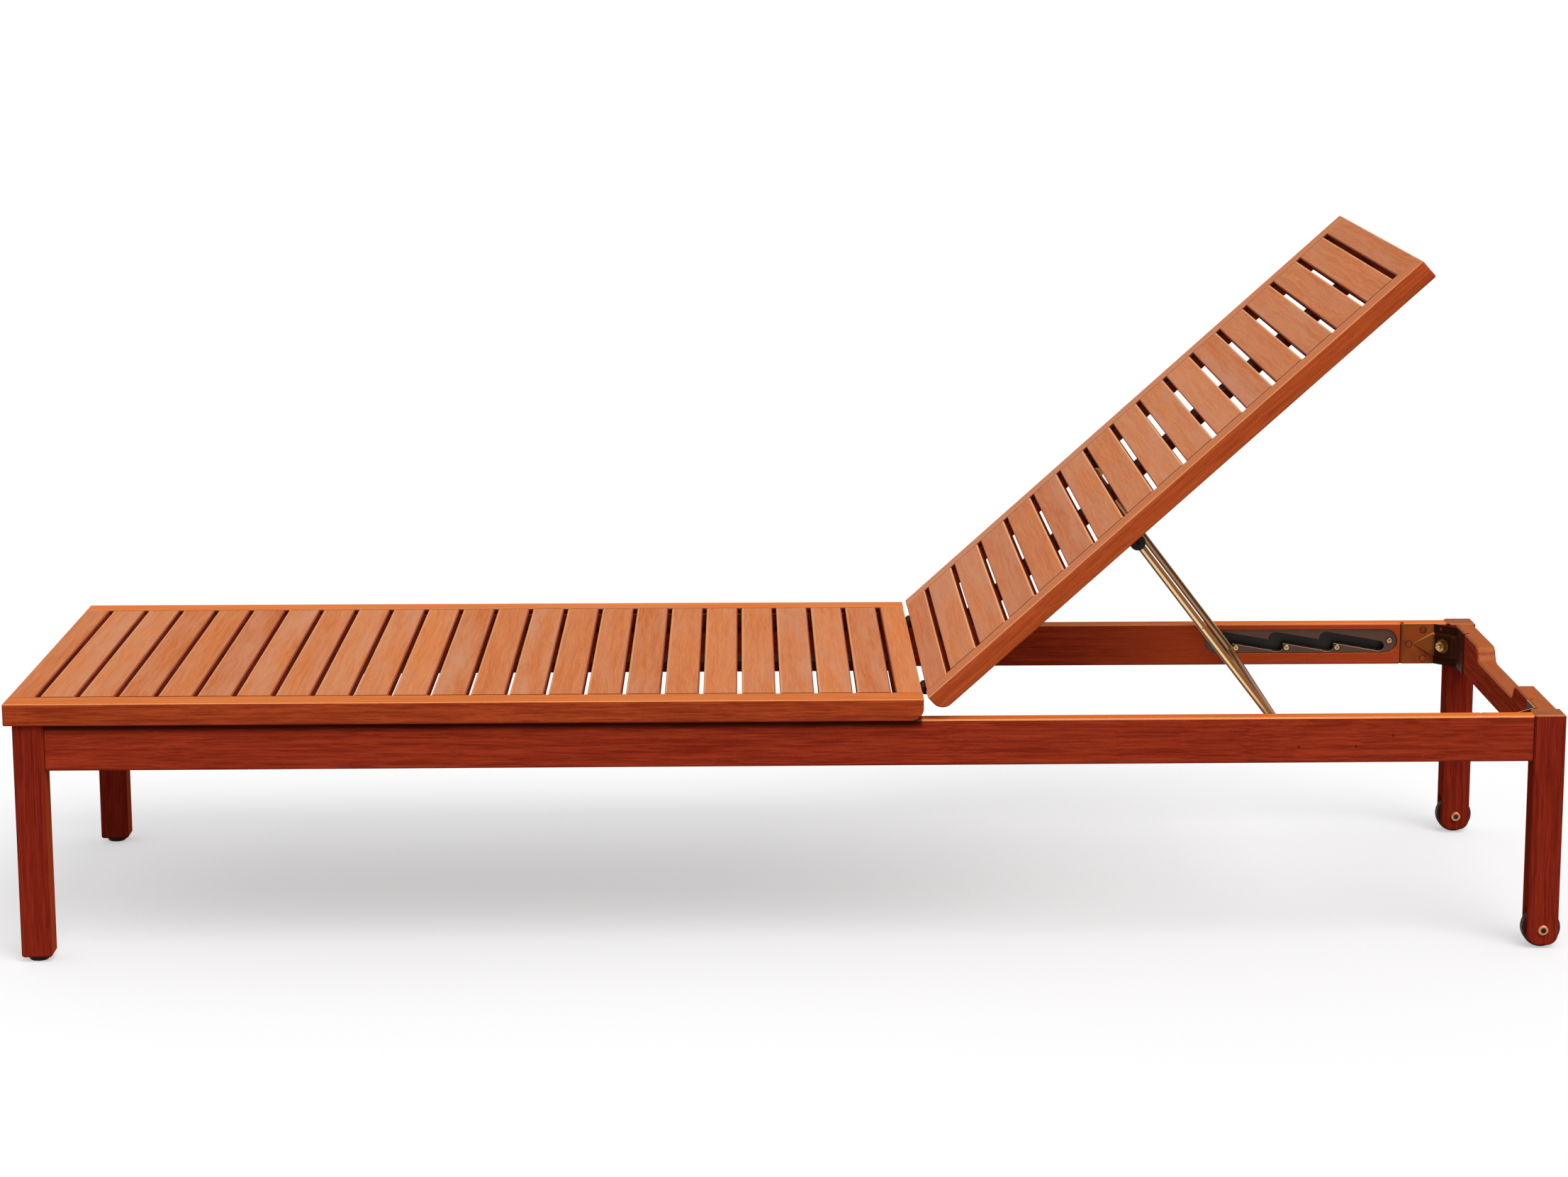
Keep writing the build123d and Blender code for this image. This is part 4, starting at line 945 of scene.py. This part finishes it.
class LOUNGER_OT_rack_screws(bpy.types.Operator):
    """Add the screws that hold the rack plates"""

    bl_idname = "lounger.rack_screws"
    bl_label = "Rack Screws"

    def execute(self, context):
        sizes = context.scene.lounger_screws
        places = []
        for side, sign in zip(SIDES, SIDE_SIGNS):
            low, high = (Vector(corner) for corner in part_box(f"rack_plate_{side}"))
            middle = (low + high) / 2
            face = high.y if sign < 0 else low.y
            for along, above in RACK_SCREWS:
                places.append((Vector((middle.x + along, face, middle.z + above)), Vector((0, -sign, 0))))
        head = cross_head(sizes.rack_radius, sizes.head_height)
        set_screws("rack_screws", head, places, bpy.data.materials["screw_brass"], "base")
        bpy.data.objects.remove(head, do_unlink=True)
        return {"FINISHED"}


class LOUNGER_OT_bracket_screws(bpy.types.Operator):
    """Add the screws in the flanges of the corner brackets"""

    bl_idname = "lounger.bracket_screws"
    bl_label = "Bracket Screws"

    def execute(self, context):
        sizes = context.scene.lounger_screws
        places = []
        for end, into in (("foot", 1), ("head", -1)):
            for side, sign in zip(SIDES, SIDE_SIGNS):
                low, high = (Vector(corner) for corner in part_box(f"corner_bracket_{end}_{side}"))
                corner_x = low.x + BRACKET_LIP if into > 0 else high.x - BRACKET_LIP
                corner_y = low.y + BRACKET_LIP if sign < 0 else high.y - BRACKET_LIP
                middle = (low.z + high.z) / 2
                for along, above in FLANGE_SCREWS:
                    height = middle + above
                    side_spot = (corner_x + into * along, corner_y - sign * BRACKET_SHEET, height)
                    end_spot = (corner_x + into * BRACKET_SHEET, corner_y - sign * along, height)
                    places.append((Vector(side_spot), Vector((0, -sign, 0))))
                    places.append((Vector(end_spot), Vector((into, 0, 0))))
        head = cross_head(sizes.flange_radius, FLANGE_HEAD * sizes.head_height)
        material = bpy.data.materials["screw_bronze"]
        set_screws("bracket_screws", head, places, material, "base")
        bpy.data.objects.remove(head, do_unlink=True)
        return {"FINISHED"}


class LOUNGER_OT_small_screws(bpy.types.Operator):
    """Add the screws of the hinges, the prop plates and the battens"""

    bl_idname = "lounger.small_screws"
    bl_label = "Small Screws"

    def execute(self, context):
        sizes = context.scene.lounger_screws
        leaf_places = [sign * HINGE_SPREAD + along for sign in SIDE_SIGNS for along in LEAF_SCREWS]
        seat = [(HINGE + Vector((-LEAF_FACE, y, LEAF_MIDDLE)), LENGTHWAYS) for y in leaf_places]
        back_leaf = HINGE + BACK_ALONG * LEAF_FACE + BACK_UP * LEAF_MIDDLE
        back = [(back_leaf + CROSSWAYS * y, -BACK_ALONG) for y in leaf_places]
        for sign in SIDE_SIGNS:
            plate = PIVOT + BACK_UP * PROP_PLATE_MIDDLE + CROSSWAYS * sign * PROP_PLATE_FACE
            for along in PROP_PLATE_SCREWS:
                back.append((plate + BACK_ALONG * along, -sign * CROSSWAYS))
        for along in slat_middles(SEAT_LENGTH, SEAT_SLATS):
            seat.append((HINGE - LENGTHWAYS * along - UP * BATTEN_FACE, -UP))
        for along in slat_middles(BACK_LENGTH, BACK_SLATS):
            back.append((HINGE + BACK_ALONG * along - BACK_UP * BATTEN_FACE, -BACK_UP))
        head = cross_head(sizes.small_radius, SMALL_HEAD * sizes.head_height)
        brass = bpy.data.materials["bolt_brass"]
        set_screws("seat_screws", head, seat, brass, "base")
        set_screws("back_screws", head, back, brass, "back")
        bpy.data.objects.remove(head, do_unlink=True)
        return {"FINISHED"}


def light_world(settings):
    """Light the world from overhead more than from the sides."""
    world = bpy.data.worlds.new("studio")
    bpy.context.scene.world = world
    world.use_nodes = True
    sky = Nodes(world.node_tree, "Generated")
    overhead = sky.ease(sky.along(UP), *SKY_SLOPE)
    strength = settings.horizon + (settings.sky - settings.horizon) * overhead
    sky.feed(world.node_tree.nodes["Background"], {"Color": (1, 1, 1), "Strength": strength})


def paint_floor(settings):
    """A plain floor that looks pale and throws back only part of its light."""
    paint = Finish("floor_paint", Roughness=0.9, **{"Specular IOR Level": 0.0, "Emission Strength": 1.0})
    rays = ("Camera", "Glossy", "Transmission")
    camera, glossy, through = (paint.node("ShaderNodeLightPath", output=f"Is {ray} Ray") for ray in rays)
    seen = paint.node("ShaderNodeMath", {"operation": "MINIMUM"}, {0: camera + glossy + through, 1: 1.0})
    glow = toned(settings.floor, 0.5)
    return paint.finish(
        Base_Color=paint.mix(seen, (settings.floor_bounce,) * 3, glow),
        Emission_Color=paint.mix(seen, (0, 0, 0), glow),
    )


def place_camera():
    """Set the camera where the photograph's camera stood."""
    forward = Vector((
        math.sin(CAMERA_YAW) * math.cos(CAMERA_PITCH),
        math.cos(CAMERA_YAW) * math.cos(CAMERA_PITCH),
        -math.sin(CAMERA_PITCH),
    ))
    right = Vector((math.cos(CAMERA_YAW), -math.sin(CAMERA_YAW), 0))
    above = right.cross(forward)
    rolled_right = right * math.cos(CAMERA_ROLL) + above * math.sin(CAMERA_ROLL)
    rolled_up = above * math.cos(CAMERA_ROLL) - right * math.sin(CAMERA_ROLL)
    bpy.ops.object.camera_add()
    camera = bpy.context.object
    camera.name = "photo_camera"
    turn = Matrix((rolled_right, rolled_up, -forward)).transposed().to_4x4()
    camera.matrix_world = Matrix.Translation(CAMERA_PLACE) @ turn
    camera.data.sensor_fit = "HORIZONTAL"
    camera.data.lens = FOCAL_PIXELS * camera.data.sensor_width / PHOTO_WIDTH
    camera.data.shift_x = (PHOTO_WIDTH / 2 - OPTICAL_CENTRE[0]) / PHOTO_WIDTH
    camera.data.shift_y = (OPTICAL_CENTRE[1] - PHOTO_HEIGHT / 2) / PHOTO_WIDTH
    camera.data.clip_end = CAMERA_REACH
    bpy.context.scene.camera = camera


class LOUNGER_OT_stage(bpy.types.Operator):
    """Add the floor, the lights and the camera"""

    bl_idname = "lounger.stage"
    bl_label = "Stage"

    def execute(self, context):
        settings = context.scene.lounger_stage
        bpy.ops.object.select_all(action="DESELECT")
        bpy.ops.mesh.primitive_plane_add(size=FLOOR_SIZE, location=(0, 0, 0))
        floor = context.object
        floor.name = "floor"
        floor.data.materials.append(paint_floor(settings))
        bpy.ops.object.light_add(type="SUN", location=LAMP_PLACE)
        lamp = context.object
        lamp.name = "broad_lamp"
        lamp.data.energy = settings.key_power
        lamp.data.angle = LAMP_ANGLE
        lamp.rotation_euler = (LAMP_AIM - LAMP_PLACE).to_track_quat("-Z", "Y").to_euler()
        light_world(settings)
        place_camera()
        context.scene.view_settings.view_transform = "Standard"
        return {"FINISHED"}


class LOUNGER_PT_panel(bpy.types.Panel):
    """Lists the lounger's operators and settings"""

    bl_idname = "LOUNGER_PT_panel"
    bl_label = "Sun Lounger"
    bl_space_type = "VIEW_3D"
    bl_region_type = "UI"
    bl_category = "Lounger"

    def draw(self, context):
        for group in SETTINGS:
            box = self.layout.box()
            values = getattr(context.scene, group)
            for name in values.__annotations__:
                box.prop(values, name)
        for operator in OPERATORS:
            self.layout.operator(operator.bl_idname)


SETTINGS = {
    "lounger_wood": LoungerWood,
    "lounger_metal": LoungerMetal,
    "lounger_screws": LoungerScrews,
    "lounger_stage": LoungerStage,
}
OPERATORS = (
    LOUNGER_OT_seat_wood,
    LOUNGER_OT_back_wood,
    LOUNGER_OT_base_wood,
    LOUNGER_OT_metalwork,
    LOUNGER_OT_plastics,
    LOUNGER_OT_rack_screws,
    LOUNGER_OT_bracket_screws,
    LOUNGER_OT_small_screws,
    LOUNGER_OT_stage,
)


def register():
    for kind in (*SETTINGS.values(), *OPERATORS, LOUNGER_PT_panel):
        bpy.utils.register_class(kind)
    for name, kind in SETTINGS.items():
        setattr(bpy.types.Scene, name, PointerProperty(type=kind))


def unregister():
    for name in SETTINGS:
        delattr(bpy.types.Scene, name)
    for kind in (LOUNGER_PT_panel, *reversed(OPERATORS), *reversed(SETTINGS.values())):
        bpy.utils.unregister_class(kind)


def main():
    """Dress the lounger and set the stage."""
    register()
    bpy.ops.lounger.seat_wood()
    bpy.ops.lounger.back_wood()
    bpy.ops.lounger.base_wood()
    bpy.ops.lounger.metalwork()
    bpy.ops.lounger.plastics()
    bpy.ops.lounger.rack_screws()
    bpy.ops.lounger.bracket_screws()
    bpy.ops.lounger.small_screws()
    bpy.ops.lounger.stage()


if __name__ == "__main__":
    main()
